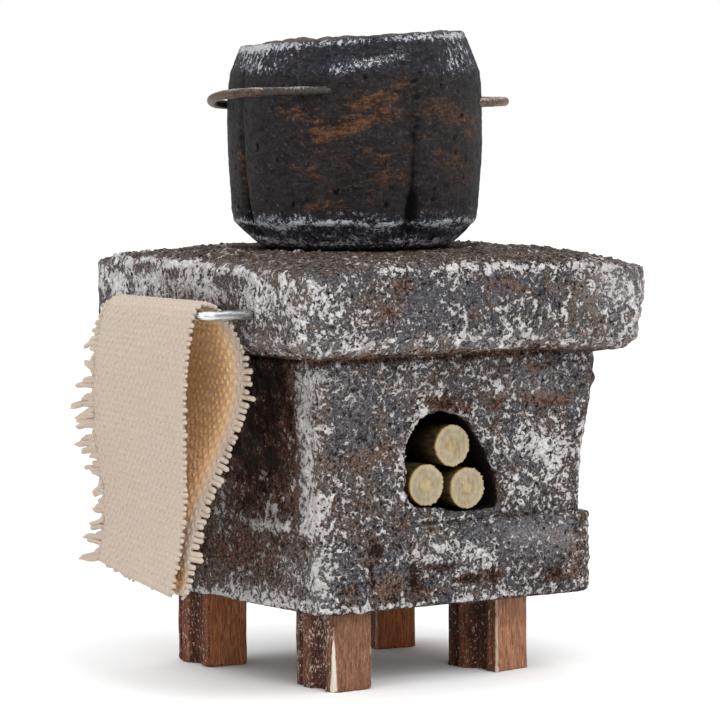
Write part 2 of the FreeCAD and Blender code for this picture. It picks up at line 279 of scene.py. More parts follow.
# ------------------------------------------------------------------ shader helper
class Look:
    def __init__(self, name):
        self.mat = bpy.data.materials.new(name)
        self.mat.use_nodes = True
        self.t = self.mat.node_tree
        self.t.nodes.clear()
        self.out = self.t.nodes.new("ShaderNodeOutputMaterial")
        self.bsdf = self.t.nodes.new("ShaderNodeBsdfPrincipled")
        self.t.links.new(self.bsdf.outputs[0], self.out.inputs[0])
        tc = self.t.nodes.new("ShaderNodeTexCoord")
        self.P = self.vec(tc.outputs["Object"], (1000, 1000, 1000))

    def put(self, sock, val):
        if isinstance(val, bpy.types.NodeSocket):
            self.t.links.new(val, sock)
        elif isinstance(val, (tuple, list)) and len(val) == 3 and len(sock.default_value) == 4:
            sock.default_value = (*val, 1.0)
        else:
            sock.default_value = val

    def vec(self, v, scale, op="MULTIPLY"):
        n = self.t.nodes.new("ShaderNodeVectorMath")
        n.operation = op
        self.put(n.inputs[0], v)
        n.inputs[1].default_value = scale
        return n.outputs[0]

    def attr(self, name):
        n = self.t.nodes.new("ShaderNodeAttribute")
        n.attribute_name = name
        return n.outputs["Fac"]

    def noise(self, v, scale, detail=3.0, rough=0.55, dist=0.0, kind="FBM"):
        n = self.t.nodes.new("ShaderNodeTexNoise")
        n.noise_type = kind
        self.put(n.inputs["Vector"], v)
        n.inputs["Scale"].default_value = scale
        n.inputs["Detail"].default_value = detail
        n.inputs["Roughness"].default_value = rough
        n.inputs["Distortion"].default_value = dist
        return n.outputs[0]

    def voro(self, v, scale, feature="F1", rand=1.0):
        n = self.t.nodes.new("ShaderNodeTexVoronoi")
        n.feature = feature
        self.put(n.inputs["Vector"], v)
        n.inputs["Scale"].default_value = scale
        n.inputs["Randomness"].default_value = rand
        return n.outputs["Distance"]

    def m(self, op, a, b=0.0, c=None, clamp=False):
        n = self.t.nodes.new("ShaderNodeMath")
        n.operation = op
        n.use_clamp = clamp
        self.put(n.inputs[0], a)
        self.put(n.inputs[1], b)
        if c is not None:
            self.put(n.inputs[2], c)
        return n.outputs[0]

    def step(self, x, lo, hi, a=0.0, b=1.0, smooth=True):
        n = self.t.nodes.new("ShaderNodeMapRange")
        n.interpolation_type = "SMOOTHSTEP" if smooth else "LINEAR"
        self.put(n.inputs[0], x)
        for k, v in zip((1, 2, 3, 4), (lo, hi, a, b)):
            self.put(n.inputs[k], v)
        return n.outputs[0]

    def mix(self, f, a, b, kind="MIX"):
        n = self.t.nodes.new("ShaderNodeMix")
        n.data_type = "RGBA"
        n.blend_type = kind
        self.put(n.inputs[0], f)
        self.put(n.inputs[6], a)
        self.put(n.inputs[7], b)
        return n.outputs[2]

    def ramp(self, x, stops):
        """Colour ramp; stops are (position, colour)."""
        n = self.t.nodes.new("ShaderNodeValToRGB")
        el = n.color_ramp.elements
        while len(el) > 1:
            el.remove(el[-1])
        el[0].position, el[0].color = stops[0][0], (*stops[0][1], 1.0)
        for q, c in stops[1:]:
            e = el.new(q)
            e.color = (*c, 1.0)
        self.put(n.inputs[0], x)
        return n.outputs[0]

    def bump(self, h, dist, strength=1.0, normal=None):
        n = self.t.nodes.new("ShaderNodeBump")
        n.inputs["Strength"].default_value = strength
        n.inputs["Distance"].default_value = dist
        self.put(n.inputs["Height"], h)
        if normal is not None:
            self.put(n.inputs["Normal"], normal)
        return n.outputs[0]

    def done(self, color, rough=0.8, normal=None, **sockets):
        self.put(self.bsdf.inputs["Base Color"], color)
        self.put(self.bsdf.inputs["Roughness"], rough)
        if normal is not None:
            self.put(self.bsdf.inputs["Normal"], normal)
        for k, v in sockets.items():
            self.bsdf.inputs[k.replace("_", " ")].default_value = v
        return self.mat


def srgb(r, g, b):
    out = []
    for c in (r, g, b):
        c /= 255.0
        out.append(c / 12.92 if c <= 0.04045 else ((c + 0.055) / 1.055) ** 2.4)
    return tuple(out)


# ------------------------------------------------------------------ plaster
def plaster_look():
    L = Look("plaster")
    hm, wht, rst, drk, ton, ani, smo, lit = (L.attr(k) for k in ("hm", "wht", "rst", "drk", "ton", "ani", "smo", "lit"))
    inv = L.m("SUBTRACT", 1.0, ani)
    up = L.vec(L.P, (1.0, 1.0, 0.5))

    def both(scale, detail, rough, dist):
        a = L.noise(L.P, scale, detail, rough, dist)
        b = L.noise(up, scale * 1.15, detail, rough, dist)
        return L.m("ADD", L.m("MULTIPLY", a, inv), L.m("MULTIPLY", b, ani))

    n0 = L.noise(L.P, 0.52, 2.0, 0.5, 0.6)
    n1 = both(1.0, 3.0, 0.60, 1.3)
    n2 = both(2.5, 3.0, 0.58, 0.8)
    mic = L.noise(L.P, 6.0, 3.0, 0.6)
    big = L.noise(L.P, 0.36, 4.0, 0.62, 0.8)
    big2 = L.noise(L.vec(L.P, (31.0, 17.0, 5.0), "ADD"), 0.55, 4.0, 0.64, 1.0)
    amp = L.m("MULTIPLY_ADD", smo, -0.60, 1.0)
    # what stands up catches the dry-brushed light paint
    F = L.m("ADD", L.m("MULTIPLY_ADD", n1, 10.0, -5.0), L.m("MULTIPLY_ADD", n2, 8.0, -4.0))
    F = L.m("ADD", F, L.m("MULTIPLY_ADD", mic, 3.0, -1.5))
    F = L.m("ADD", F, L.m("MULTIPLY_ADD", n0, 2.4, -1.2))
    F = L.m("ADD", L.m("MULTIPLY", F, amp), L.m("MULTIPLY", hm, 0.62))
    F = L.m("ADD", F, L.m("MULTIPLY_ADD", wht, 2.6, -0.13))
    F = L.m("MULTIPLY_ADD", drk, -0.40, F)
    W = L.step(F, 0.62, 1.12)
    # the coat below it
    G = L.m("ADD", L.m("MULTIPLY_ADD", n2, 4.5, -2.25), L.m("MULTIPLY_ADD", mic, 4.4, -2.2))
    G = L.m("ADD", L.m("MULTIPLY", G, amp), L.m("MULTIPLY", F, 0.34))
    t = L.m("MULTIPLY_ADD", lit, 0.11, L.m("MULTIPLY_ADD", G, L.m("MULTIPLY_ADD", drk, 0.16, 0.25), 0.53))
    blue = L.ramp(t, [(0.0, srgb(22, 20, 20)), (0.20, srgb(45, 43, 45)), (0.36, srgb(62, 61, 64)),
                      (0.50, srgb(78, 77, 81)), (0.62, srgb(98, 97, 100)), (0.74, srgb(122, 120, 121)), (0.92, srgb(150, 147, 146))])
    brown = L.ramp(t, [(0.0, srgb(26, 18, 15)), (0.20, srgb(52, 42, 37)), (0.36, srgb(71, 60, 54)),
                       (0.50, srgb(88, 77, 71)), (0.62, srgb(107, 96, 91)), (0.74, srgb(130, 120, 115)), (0.92, srgb(154, 146, 142))])
    col = L.mix(L.step(L.m("ADD", big, ton), 0.41, 0.59), blue, brown)
    rustm = L.m("MULTIPLY", L.step(L.m("ADD", big2, L.m("MULTIPLY", rst, 0.29)), 0.57, 0.72), 0.88)
    rcol = L.ramp(t, [(0.05, srgb(28, 18, 14)), (0.34, srgb(68, 47, 37)), (0.52, srgb(102, 81, 69)), (0.75, srgb(136, 115, 103))])
    col = L.mix(rustm, col, rcol)
    light = L.ramp(L.m("MULTIPLY_ADD", F, 0.333, 0.0), [(0.20, srgb(134, 131, 130)), (0.36, srgb(160, 157, 157)),
                                                         (0.55, srgb(184, 182, 182)), (0.90, srgb(213, 212, 212))])
    light = L.mix(L.step(L.noise(L.P, 0.8, 3.0, 0.6), 0.44, 0.60, 0.0, 0.5), light, srgb(168, 158, 155))
    light = L.mix(L.m("MULTIPLY", rustm, 0.4), light, srgb(146, 128, 118))
    col = L.mix(W, col, light)
    # soot and painted shade: darker, with a warm cast, where drk is high; less on the light paint
    soot_and_shade = L.m("MULTIPLY_ADD", L.m("SUBTRACT", 1.0, L.step(F, 0.3, 1.2, 0.14, 0.55)), L.m("MULTIPLY", drk, -1.0), 1.0)
    dark = L.mix(L.step(L.m("ADD", big2, L.m("MULTIPLY", rst, 0.10)), 0.46, 0.66), srgb(255, 190, 152), srgb(255, 164, 112))
    col = L.mix(L.m("MULTIPLY", drk, L.m("SUBTRACT", 1.0, W)), col, L.mix(1.0, col, dark, "MULTIPLY"))
    gain = L.t.nodes.new("ShaderNodeCombineColor")
    for k in range(3):
        L.put(gain.inputs[k], soot_and_shade)
    col = L.mix(1.0, col, gain.outputs[0], "MULTIPLY")
    # pinholes
    vd = L.m("ADD", L.voro(L.P, 0.95), L.m("MULTIPLY_ADD", n2, 0.5, -0.25))
    hole = L.step(vd, 0.09, 0.15, 1.0, 0.0)
    col = L.mix(L.step(F, -2.2, -1.0, 0.72, 0.0), col, srgb(34, 25, 22))
    col = L.mix(L.m("MULTIPLY", hole, 0.9), col, srgb(22, 17, 16))
    hgt = L.m("ADD", L.m("MULTIPLY", n2, L.m("MULTIPLY_ADD", smo, -0.5, 1.0)),
              L.m("MULTIPLY_ADD", mic, 0.30, L.m("MULTIPLY", L.step(F, 0.1, 1.2), 0.42)))
    hgt = L.m("ADD", L.m("MULTIPLY_ADD", n1, 0.7, hgt), L.m("MULTIPLY", hole, -0.7))
    nrm = L.bump(hgt, 0.00042, 1.0)
    rough = L.step(W, 0.0, 1.0, 0.68, 0.88)
    return L.done(col, rough, nrm, Specular_IOR_Level=0.07)


def zones(P, table, keys):
    """Sums the listed soft ellipsoidal patches. Row: centre, radii, {key: amount}."""
    out = {k: np.zeros(len(P)) for k in keys}
    for c, s, amounts in table:
        d = (((P - np.array(c)) / np.array(s)) ** 2).sum(1)
        w = np.exp(-d * 1.4)
        for k, a in amounts.items():
            out[k] += a * w
    return out


def seg(P, a, b, width, wobble=0.0, seed=3):
    """Soft line from a to b: 1 on the line, 0 beyond `width`."""
    a, b = np.array(a, float), np.array(b, float)
    Q = P
    if wobble:
        Q = P + wobble * np.stack([gn(P / 1.6, seed), gn(P / 1.6, seed + 1), gn(P / 1.6, seed + 2)], 1)
    ab = b - a
    t = np.clip(((Q - a) @ ab) / (ab @ ab), 0, 1)
    d = np.linalg.norm(Q - a - t[:, None] * ab, axis=1)
    return np.exp(-(d / width) ** 2)


def rough_plaster(P, N, aniz, amount, lumpmask, seed):
    """Displacement in mm and the relief number that the dry brushing follows."""
    S = np.stack([np.ones(len(P)), np.ones(len(P)), 1 - 0.55 * aniz], 1)
    low = gn(P / 7.5, seed) * 0.18
    Q = P * S
    warp = 0.30 * np.stack([gn(P / 0.9, seed + 21), gn(P / 0.9, seed + 22), gn(P / 0.9, seed + 23)], 1)
    mid = fbm((Q + warp) / 1.5, 3, 0.6, seed + 1)
    fine = gn((Q + warp) / 0.62, seed + 2)
    F1, F2, rid = worley((Q + 1.6 * warp) / 0.72, seed + 3)
    lump = sstep(0.66 - F1 - 0.30 * rid, 0.0, 0.36) * lumpmask
    G1, G2, gid = worley((P + 0.8 * warp) / 2.1 + 7.7, seed + 4)
    pit = sstep(0.055 + 0.10 * gid - G1, 0.0, 0.06) * (gid > 0.66)
    h = low + amount * (0.15 * mid + 0.10 * fine) + 0.20 * lump * amount - 0.26 * pit
    hm = 1.25 * mid + 0.7 * fine + 1.2 * lump - 2.0 * pit
    return h, hm


def far_sides(P, N, seed):
    """Larger brush patches for the back and the right side, so they vary as the front does."""
    w = np.clip(sstep(N[:, 1], 0.35, 0.8) + sstep(N[:, 0], 0.35, 0.8) * (P[:, 0] > 12), 0, 1)
    a, b, c = fbm(P / 6.5, 3, 0.55, seed), fbm(P / 4.6, 3, 0.55, seed + 4), fbm(P / 8.0, 2, 0.5, seed + 8)
    return dict(wht=w * (0.72 * a + 0.30 * b), rst=w * 1.7 * sstep(b - 0.5 * a, 0.02, 0.40), ton=w * 0.55 * c,
                smo=w * 0.75 * sstep(c, -0.05, 0.35), lit=w * 0.9 * sstep(a, -0.1, 0.4))


# ---- worktop slab
PLASTER = plaster_look()
KEYS = ("wht", "rst", "drk", "ton", "smo", "dis", "lmp", "lit")
POT_C = np.array([-1.03, 0.63])


def make_slab():
    V, F = even_mesh("top_slab", 0.222)
    V = relax(V, F, 3)
    rt = sstep(V[:, 0], 16.5, 20.0)
    V[:, 0] -= 0.55 * rt * sstep(37.2 - V[:, 2], 0.0, 3.2) + 0.35 * rt * sstep(V[:, 2], 39.2, 40.4)
    V[:, 2] -= 0.42 * sstep(V[:, 0], 6.0, 15.0) * sstep(34.2 - V[:, 2], 0.0, 2.0) * sstep(-V[:, 1], 14.5, 17.0)
    N = relax(normals(V, F), F, 4)
    N /= np.linalg.norm(N, axis=1)[:, None]
    x, y, z = V.T
    side = sstep(np.hypot(N[:, 0], N[:, 1]), 0.45, 0.85)
    top = sstep(N[:, 2], 0.5, 0.85)
    under = sstep(-N[:, 2], 0.80, 0.99)
    turn = sstep(-N[:, 2], 0.10, 0.34) * (1 - sstep(-N[:, 2], 0.84, 0.95)) * (z < 35.0)
    tab = [
        # near corner: almost white crust
        ((-18.9, -18.6, 37.2), (3.2, 3.4, 3.4), dict(wht=0.38, lmp=0.6, smo=0.35, lit=0.7)),
        ((-16.6, -19.6, 37.0), (2.2, 1.5, 3.2), dict(wht=0.20, lmp=0.4)),
        ((-17.2, -19.6, 33.4), (3.0, 2.4, 1.3), dict(wht=0.36)),
        ((-20.3, -15.2, 38.6), (1.5, 3.0, 1.8), dict(wht=0.32)),
        ((-20.3, -12.0, 36.2), (1.5, 4.2, 3.4), dict(wht=0.46)),
        # front: crust along the upper edge, hollows of rust below it
        ((-3.0, -19.0, 40.0), (3.0, 1.9, 0.7), dict(wht=0.55, lmp=0.8, dis=0.16)),
        ((1.2, -19.2, 40.0), (3.2, 1.9, 0.6), dict(wht=0.70, lmp=0.8, dis=0.18)),
        ((8.5, -19.2, 39.7), (6.0, 1.9, 0.7), dict(wht=0.42, lmp=0.6, dis=0.08)),
        ((-9.5, -19.0, 39.9), (4.5, 1.9, 0.9), dict(wht=0.30, lmp=0.4)),
        ((-9.6, -19.6, 38.6), (1.3, 1.6, 0.9), dict(rst=1.4, wht=-0.5, dis=-0.12)),
        ((-11.6, -19.6, 36.3), (2.0, 1.6, 1.2), dict(rst=0.9, ton=0.2)),
        ((-7.2, -19.6, 36.6), (2.4, 1.6, 2.2), dict(ton=-0.2, smo=0.3)),
        ((-4.0, -19.6, 38.0), (2.4, 1.6, 1.2), dict(ton=-0.2, wht=-0.06)),
        ((-6.0, -19.6, 35.4), (3.4, 1.6, 2.2), dict(wht=0.08)),
        ((2.5, -19.6, 38.3), (2.6, 1.6, 1.0), dict(rst=0.7, smo=0.4, wht=-0.25)),
        ((5.6, -19.6, 35.6), (4.6, 1.6, 2.4), dict(wht=0.04, lmp=1.0)),
        ((11.0, -19.6, 36.4), (2.6, 1.6, 2.0), dict(ton=0.15, smo=0.4, wht=-0.1)),
        ((15.0, -19.4, 37.6), (2.6, 1.6, 1.8), dict(wht=0.10, smo=0.4)),
        ((17.2, -18.9, 37.2), (5.2, 3.6, 4.2), dict(wht=0.47, lmp=0.6, lit=2.0)),
        ((13.4, -19.4, 37.6), (3.0, 1.6, 2.4), dict(lit=1.0, smo=0.2)),
        ((-13.5, -19.2, 33.2), (3.6, 1.8, 0.9), dict(wht=0.34)),
        ((-4.5, -18.8, 33.2), (3.0, 1.8, 0.9), dict(wht=0.22)),
        ((4.0, -18.6, 33.4), (4.6, 1.8, 0.9), dict(wht=0.24)),
        ((13.0, -18.2, 33.0), (5.0, 2.2, 1.0), dict(ton=0.2, rst=0.4)),
        # left side
        ((-20.3, -3.0, 37.6), (1.5, 2.2, 1.6), dict(wht=0.26)),
        ((-20.3, 1.2, 37.0), (1.5, 2.0, 1.8), dict(rst=0.9, smo=0.3)),
        ((-20.3, 5.0, 38.0), (1.5, 15.0, 1.9), dict(wht=0.72, smo=0.1, lit=0.5)),
        ((-20.3, 7.5, 37.4), (1.5, 2.4, 2.0), dict(wht=0.05, ton=-0.15)),
        ((-20.0, 16.5, 36.8), (2.0, 3.0, 3.0), dict(wht=0.16, ton=-0.2)),
    ]
    Z = zones(V, tab, KEYS)
    for k, v in far_sides(V, N, 201).items():
        Z[k] = Z[k] + v
    patch = fbm(V / 5.2, 3, 0.5, 31)
    # white ridge along the left upper edge
    ridge = seg(V, (-19.6, 15.5, 40.25), (-19.9, -8.5, 39.55), 0.42, 0.35)
    ridge2 = seg(V, (-19.9, -8.5, 39.5), (-20.2, -13.0, 38.6), 0.40, 0.5)
    edge = sstep(0.9 - np.abs(z - 39.9), 0.0, 0.9) * side * (0.4 + 0.9 * sstep(gn(V / 1.9, 57), -0.3, 0.4))
    lipb = sstep(1.0 - np.abs(z - 33.0), 0.0, 1.0) * (1 - top)
    # rivulets on the front: short upright ridges
    riv = np.zeros(len(V))
    for i, (rx, z0, z1, lean) in enumerate(((1.0, 33.9, 36.4, 0.2), (2.5, 34.6, 37.6, -0.1), (3.9, 34.0, 36.9, 0.3),
                                             (5.0, 35.0, 38.4, 0.1), (6.1, 33.8, 36.8, 0.5), (7.2, 34.6, 37.7, 0.3),
                                             (8.3, 33.6, 36.2, 0.7), (9.1, 34.6, 37.2, 0.4), (-0.8, 34.0, 36.0, 0.1),
                                             (-2.6, 34.8, 37.0, -0.2), (-5.4, 33.8, 35.6, 0.2), (-8.9, 34.0, 36.2, 0.1),
                                             (11.9, 34.2, 36.4, 0.2), (14.2, 34.4, 37.4, -0.2))):
        riv = np.maximum(riv, seg(V, (rx, -19.8, z0), (rx + lean, -19.8, z1), 0.20, 0.30, 40 + i))
    # brushed-on strokes on the left side
    lump = np.clip(0.42 + 0.9 * patch + Z["lmp"], 0, 1.3)
    h, hm = rough_plaster(V, N, side * 0.95, 1.0, lump, 11)
    h = h + 0.26 * ridge + 0.2 * ridge2 + 0.24 * riv + Z["dis"] + 0.10 * edge * sstep(patch, -0.2, 0.3)
    h = h + 0.46 * lipb * (1 - under) * sstep(gn(V / np.array([1.5, 1.5, 1.0]), 53), -0.25, 0.45) - 0.14 * lipb
    h = h + 0.16 * lipb * gn(V / 0.62, 54)
    cru = fbm(V / 0.85, 3, 0.6, 58)
    h = h + 0.40 * turn * cru
    # combed top: fine lines
    comb = gn(V / np.array([0.9, 0.5, 1.0]), 51)
    h = h + (0.10 * comb + 0.10 * sstep(hm, 0.2, 1.2)) * top
    hm = hm + 0.5 * comb * top
    # the flat seat under the pot stays at or below its level
    seat = sstep(12.4 - np.hypot(x - POT_C[0], y - POT_C[1]), 0.0, 0.8) * top
    h = np.where(seat > 0, h * (1 - seat) + seat * np.minimum(h * 0.6 - 0.10, -0.01), h)
    over = np.maximum(np.maximum(sstep(-y, 15.4, 16.2), sstep(-x, 16.2, 17.0)), np.maximum(sstep(x, 17.4, 18.2), sstep(y, 15.4, 16.2)))
    h = h * (1 - 0.75 * under * (1 - 0.65 * over))
    wht = (-0.02 + 0.34 * patch + Z["wht"] + 0.95 * ridge + 0.8 * ridge2 + 0.9 * riv + 0.20 * edge + 0.10 * lipb
           + 0.04 * sstep(-x, 19.0, 20.0) * side - 0.20 * top - 0.45 * under
           + turn * (0.08 + 0.85 * cru + 0.50 * fbm(V / 2.6, 2, 0.5, 59)))
    V2 = V + N * h[:, None]
    # drk darkens the downward faces, most of all the seat under the pot, and the top a little: painted shade and
    # painted shadow of the pot
    drk = np.clip(Z["drk"] + 0.30 * under + 0.65 * seat + 0.10 * top, 0, 1)
    # lit lightens the underside round-over, the far left face and the top outside the seat: painted light
    att = dict(hm=hm, wht=wht, rst=Z["rst"] + 0.10 * top + 1.4 * sstep(-N[:, 2], 0.66, 0.90), drk=drk,
               ton=Z["ton"] + 0.10 * top + 0.10 * under + 0.06 * np.sign(-x - 19.5) * side, ani=side * (0.12 + 0.18 * sstep(-x, 19.0, 20.0)), smo=np.clip(Z["smo"], 0, 1), lit=Z["lit"] + 0.5 * sstep(-x, 19.0, 20.0) * side + 1.3 * turn + 0.35 * top * (1 - seat))
    return piece("worktop", V2, [F], "stove", ["top_slab"], PLASTER, att)


# ---- hearth body
def niche_clear(P, h):
    """Keeps the niche walls clear of the three sticks and their way out."""
    for cx, cz in ((-2.90, 19.08), (1.92, 18.52), (0.18, 22.72)):
        d = np.hypot(P[:, 0] - cx, P[:, 2] - cz)
        inside = (d < 3.1) & (P[:, 1] < -1.0)
        h = np.where(inside, np.minimum(h, -0.06 + 0.5 * np.maximum(d - 2.2, 0) - 0.02), h)
    return h


def make_body():
    V, F = even_mesh("hearth_body", 0.218)
    V = relax(V, F, 2)
    # the plaster of the body runs down over the joint with the base
    run = sstep(16.5 - V[:, 2], 0.0, 0.9) * np.maximum(sstep(-V[:, 0], 13.5, 15.0), sstep(-V[:, 0], 4.0, 8.0) * sstep(-V[:, 1], 12.5, 14.0))
    V[:, 2] -= 0.9 * run
    N = relax(normals(V, F), F, 4)
    N /= np.linalg.norm(N, axis=1)[:, None]
    x, y, z = V.T
    front = sstep(-N[:, 1], 0.5, 0.9) * (y < -13.0)
    left = sstep(-N[:, 0], 0.5, 0.9) * (x < -14.0)
    inner = ((np.abs(x) < 6.6) & (y > -14.0) & (y < -0.8) & (z > 16.0) & (z < 27.2)).astype(float)
    tab = [
        # pale band beside the near upright corner, on the towel side and round the corner
        ((-15.5, -12.4, 28.4), (1.3, 3.1, 4.0), dict(wht=0.80, ton=0.1, smo=0.62, lit=1.3)),
        ((-15.5, -12.2, 22.0), (1.3, 2.8, 4.4), dict(wht=0.72, ton=0.1, smo=0.62, lit=1.3)),
        ((-15.5, -12.8, 17.0), (1.3, 2.1, 2.8), dict(wht=0.78, smo=0.5, lit=1.0)),
        # front
        ((-12.6, -14.8, 29.0), (3.4, 1.0, 2.8), dict(ton=-0.15, wht=0.14, lit=1.0)),
        ((-12.4, -14.8, 25.2), (2.2, 1.0, 3.2), dict(ton=-0.3, wht=-0.12)),
        ((-11.0, -14.8, 21.6), (2.2, 1.0, 2.0), dict(rst=0.7, ton=0.2, wht=-0.12)),
        ((-7.8, -14.8, 22.6), (1.8, 1.0, 1.5), dict(rst=1.1, ton=0.2, wht=-0.12)),
        ((-11.6, -14.8, 18.0), (2.6, 1.0, 2.0), dict(ton=0.2, rst=0.4, wht=-0.08)),
        ((-5.0, -14.9, 29.0), (4.6, 1.0, 2.2), dict(wht=0.20, ton=0.05, lit=0.9)),
        ((2.6, -15.0, 29.2), (4.6, 1.0, 2.0), dict(wht=0.16, ton=0.05)),
        ((8.9, -15.0, 29.8), (2.3, 1.0, 0.6), dict(rst=1.0, smo=0.6, wht=-0.28)),
        ((10.6, -15.0, 26.7), (3.4, 1.0, 0.9), dict(rst=1.5, smo=0.8, wht=-0.42)),
        ((5.2, -15.0, 27.3), (1.8, 1.0, 0.6), dict(rst=1.1, smo=0.6, wht=-0.25)),
        ((13.6, -15.0, 29.6), (2.4, 1.0, 1.4), dict(ton=-0.3, wht=-0.06, smo=0.3, lit=0.8)),
        ((9.0, -14.7, 28.4), (5.0, 1.0, 1.6), dict(ton=-0.1, wht=0.14, lit=1.4)),
        # crust to the right of the opening
        ((8.4, -14.6, 22.3), (2.9, 1.0, 2.4), dict(wht=0.54, lmp=0.9, dis=0.05, lit=0.7)),
        ((11.6, -14.6, 21.4), (2.4, 1.0, 3.2), dict(wht=0.50, lmp=0.9, dis=0.05, lit=0.7)),
        ((7.0, -14.6, 18.6), (1.8, 1.0, 1.8), dict(wht=0.22, lmp=0.5)),
        ((15.4, -14.4, 21.4), (0.9, 1.2, 5.4), dict(wht=0.70, smo=0.3)),
        ((13.0, -14.6, 18.6), (1.6, 1.0, 2.0), dict(wht=0.16, rst=0.4)),
        ((4.6, -14.9, 26.3), (1.0, 1.0, 0.7), dict(rst=1.4, wht=-0.4, dis=-0.1)),
        ((4.7, -14.8, 24.0), (1.0, 1.0, 1.8), dict(rst=0.6, wht=-0.1)),
        # left of the opening
        ((-8.4, -14.8, 18.0), (1.4, 1.0, 2.4), dict(wht=0.04)),
        ((-10.0, -14.8, 24.0), (4.5, 1.0, 7.0), dict(wht=-0.06, smo=0.22, lit=0.3)),
        ((-7.2, -14.8, 26.4), (2.0, 1.0, 2.0), dict(ton=-0.2, wht=0.04)),
        # sooty brown crown of the opening
        ((-1.5, -14.8, 26.9), (1.9, 1.3, 0.75), dict(drk=0.62, rst=1.2, ton=0.3, wht=-0.45)),
        ((1.2, -14.8, 26.2), (1.1, 1.3, 0.7), dict(drk=0.40, rst=0.9, ton=0.2, wht=-0.35)),
        # sill
        ((2.6, -14.6, 16.5), (4.0, 1.4, 0.7), dict(ton=-0.3, wht=-0.30, smo=0.3, drk=0.25)),
        # towel side: dark paint, darkened further as painted shadow of the towel and the slab above
        ((-15.5, 3.0, 25.0), (1.6, 13.5, 8.0), dict(drk=1.2, ton=0.5, wht=-0.20, rst=0.9)),
        ((-15.5, -6.5, 27.5), (1.6, 4.6, 5.2), dict(drk=0.95, ton=0.5, wht=-0.16, rst=0.8)),
        ((-15.5, -4.0, 19.0), (1.6, 6.0, 3.4), dict(drk=0.72, ton=0.5, wht=-0.02, rst=1.2)),
        ((-15.5, -10.5, 17.0), (1.6, 1.4, 1.0), dict(wht=0.30, lmp=0.6)),
    ]
    Z = zones(V, tab, KEYS)
    for k, v in far_sides(V, N, 231).items():
        Z[k] = Z[k] + v
    patch = fbm(V / 4.6, 3, 0.5, 61)
    # rim of the opening: distance from the arch outline seen from the front
    arch = np.array([(5.35, 16.42), (5.2, 18.3), (4.6, 20.6), (3.66, 22.40), (2.6, 23.9), (1.34, 25.24), (0.10, 26.18),
                     (-1.10, 26.54), (-2.60, 26.50), (-3.78, 26.06), (-4.92, 25.12), (-5.64, 24.00), (-6.00, 21.90),
                     (-5.84, 20.00), (-5.82, 18.50), (-4.85, 17.15), (-2.2, 16.98), (0.3, 16.44), (5.35, 16.42)])
    da = np.full(len(V), 99.0)
    for a, b in zip(arch[:-1], arch[1:]):
        ab = b - a
        t = np.clip(((x - a[0]) * ab[0] + (z - a[1]) * ab[1]) / (ab @ ab), 0, 1)
        da = np.minimum(da, np.hypot(x - a[0] - t * ab[0], z - a[1] - t * ab[1]))
    nearfront = sstep(-y, 13.2, 14.1)
    rim = np.exp(-((da - 0.25) / 0.42) ** 2) * nearfront
    upleft = sstep(-(x + 1.2) + 0.35 * (z - 21), -1.0, 2.5)
    black = inner * sstep(y, -14.0, -13.0)
    rimw = rim * (0.22 + 0.78 * upleft * sstep(z, 16.8, 19.0)) * (0.35 + 0.65 * sstep(gn(V / 1.3, 69), -0.35, 0.2))
    rimw = rimw * (1 - 0.88 * np.exp(-((x + 1.2) / 1.8) ** 2 - ((z - 26.9) / 1.1) ** 2))
    joint = np.exp(-((z - 31.40 - 0.22 * gn(V / 1.3, 66)) / 0.26) ** 2) * (1 - inner) * (0.45 + 0.55 * sstep(gn(V / 0.9, 78), -0.5, 0.2))
    bite = sstep(gn(V / 0.8, 74), 0.15, 0.55) * rim
    lipw = np.exp(-((z - 30.75 - 0.22 * gn(V / 1.9, 67)) / 0.30) ** 2) * front * sstep(gn(V / 1.7, 68), -0.35, 0.25)
    line = seg(V, (-15.6, -1.8, 15.75), (-15.6, -9.9, 15.60), 0.21, 0.14)
    sillw = seg(V, (-4.4, -14.6, 15.8), (4.4, -14.6, 16.0), 0.30, 0.35)
    lump = np.clip(0.28 + 0.8 * patch + Z["lmp"] + 0.9 * rimw, 0, 1.3)
    amount = 1.0 - 0.45 * inner
    h, hm = rough_plaster(V, N, left * 0.75, amount, lump, 71)
    h = h * (1 - 0.15 * front)
    bulge = np.exp(-(((V - np.array([17.1, -14.2, 28.4])) / np.array([0.8, 1.2, 0.55])) ** 2).sum(1))
    h = h - 0.16 * bite + 0.11 * rim * gn(V / 0.5, 77)
    # the plaster sags a little at the crown of the opening
    sag = np.exp(-((x + 1.0) / 2.1) ** 2 - ((z - 26.4) / 0.8) ** 2) * sstep(-y, 12.6, 14.0) * sstep(-N[:, 2], 0.1, 0.6)
    h = h + sag * (0.42 + 0.16 * gn(V / 0.8, 76))
    h = h + 0.16 * front * np.exp(-((z - 30.9) / 0.5) ** 2) * fbm(V / 0.7, 2, 0.6, 79)
    h = h + 0.26 * rimw + 0.20 * line + 0.24 * sillw + Z["dis"] + 0.5 * bulge - 0.22 * joint
    fill = np.exp(-(np.maximum(z - 15.4, 0) / 1.1) ** 2)
    h = h + fill * np.maximum(left * 0.46, front * 0.42 * sstep(-x, 5.5, 7.5))
    h = niche_clear(V, h)
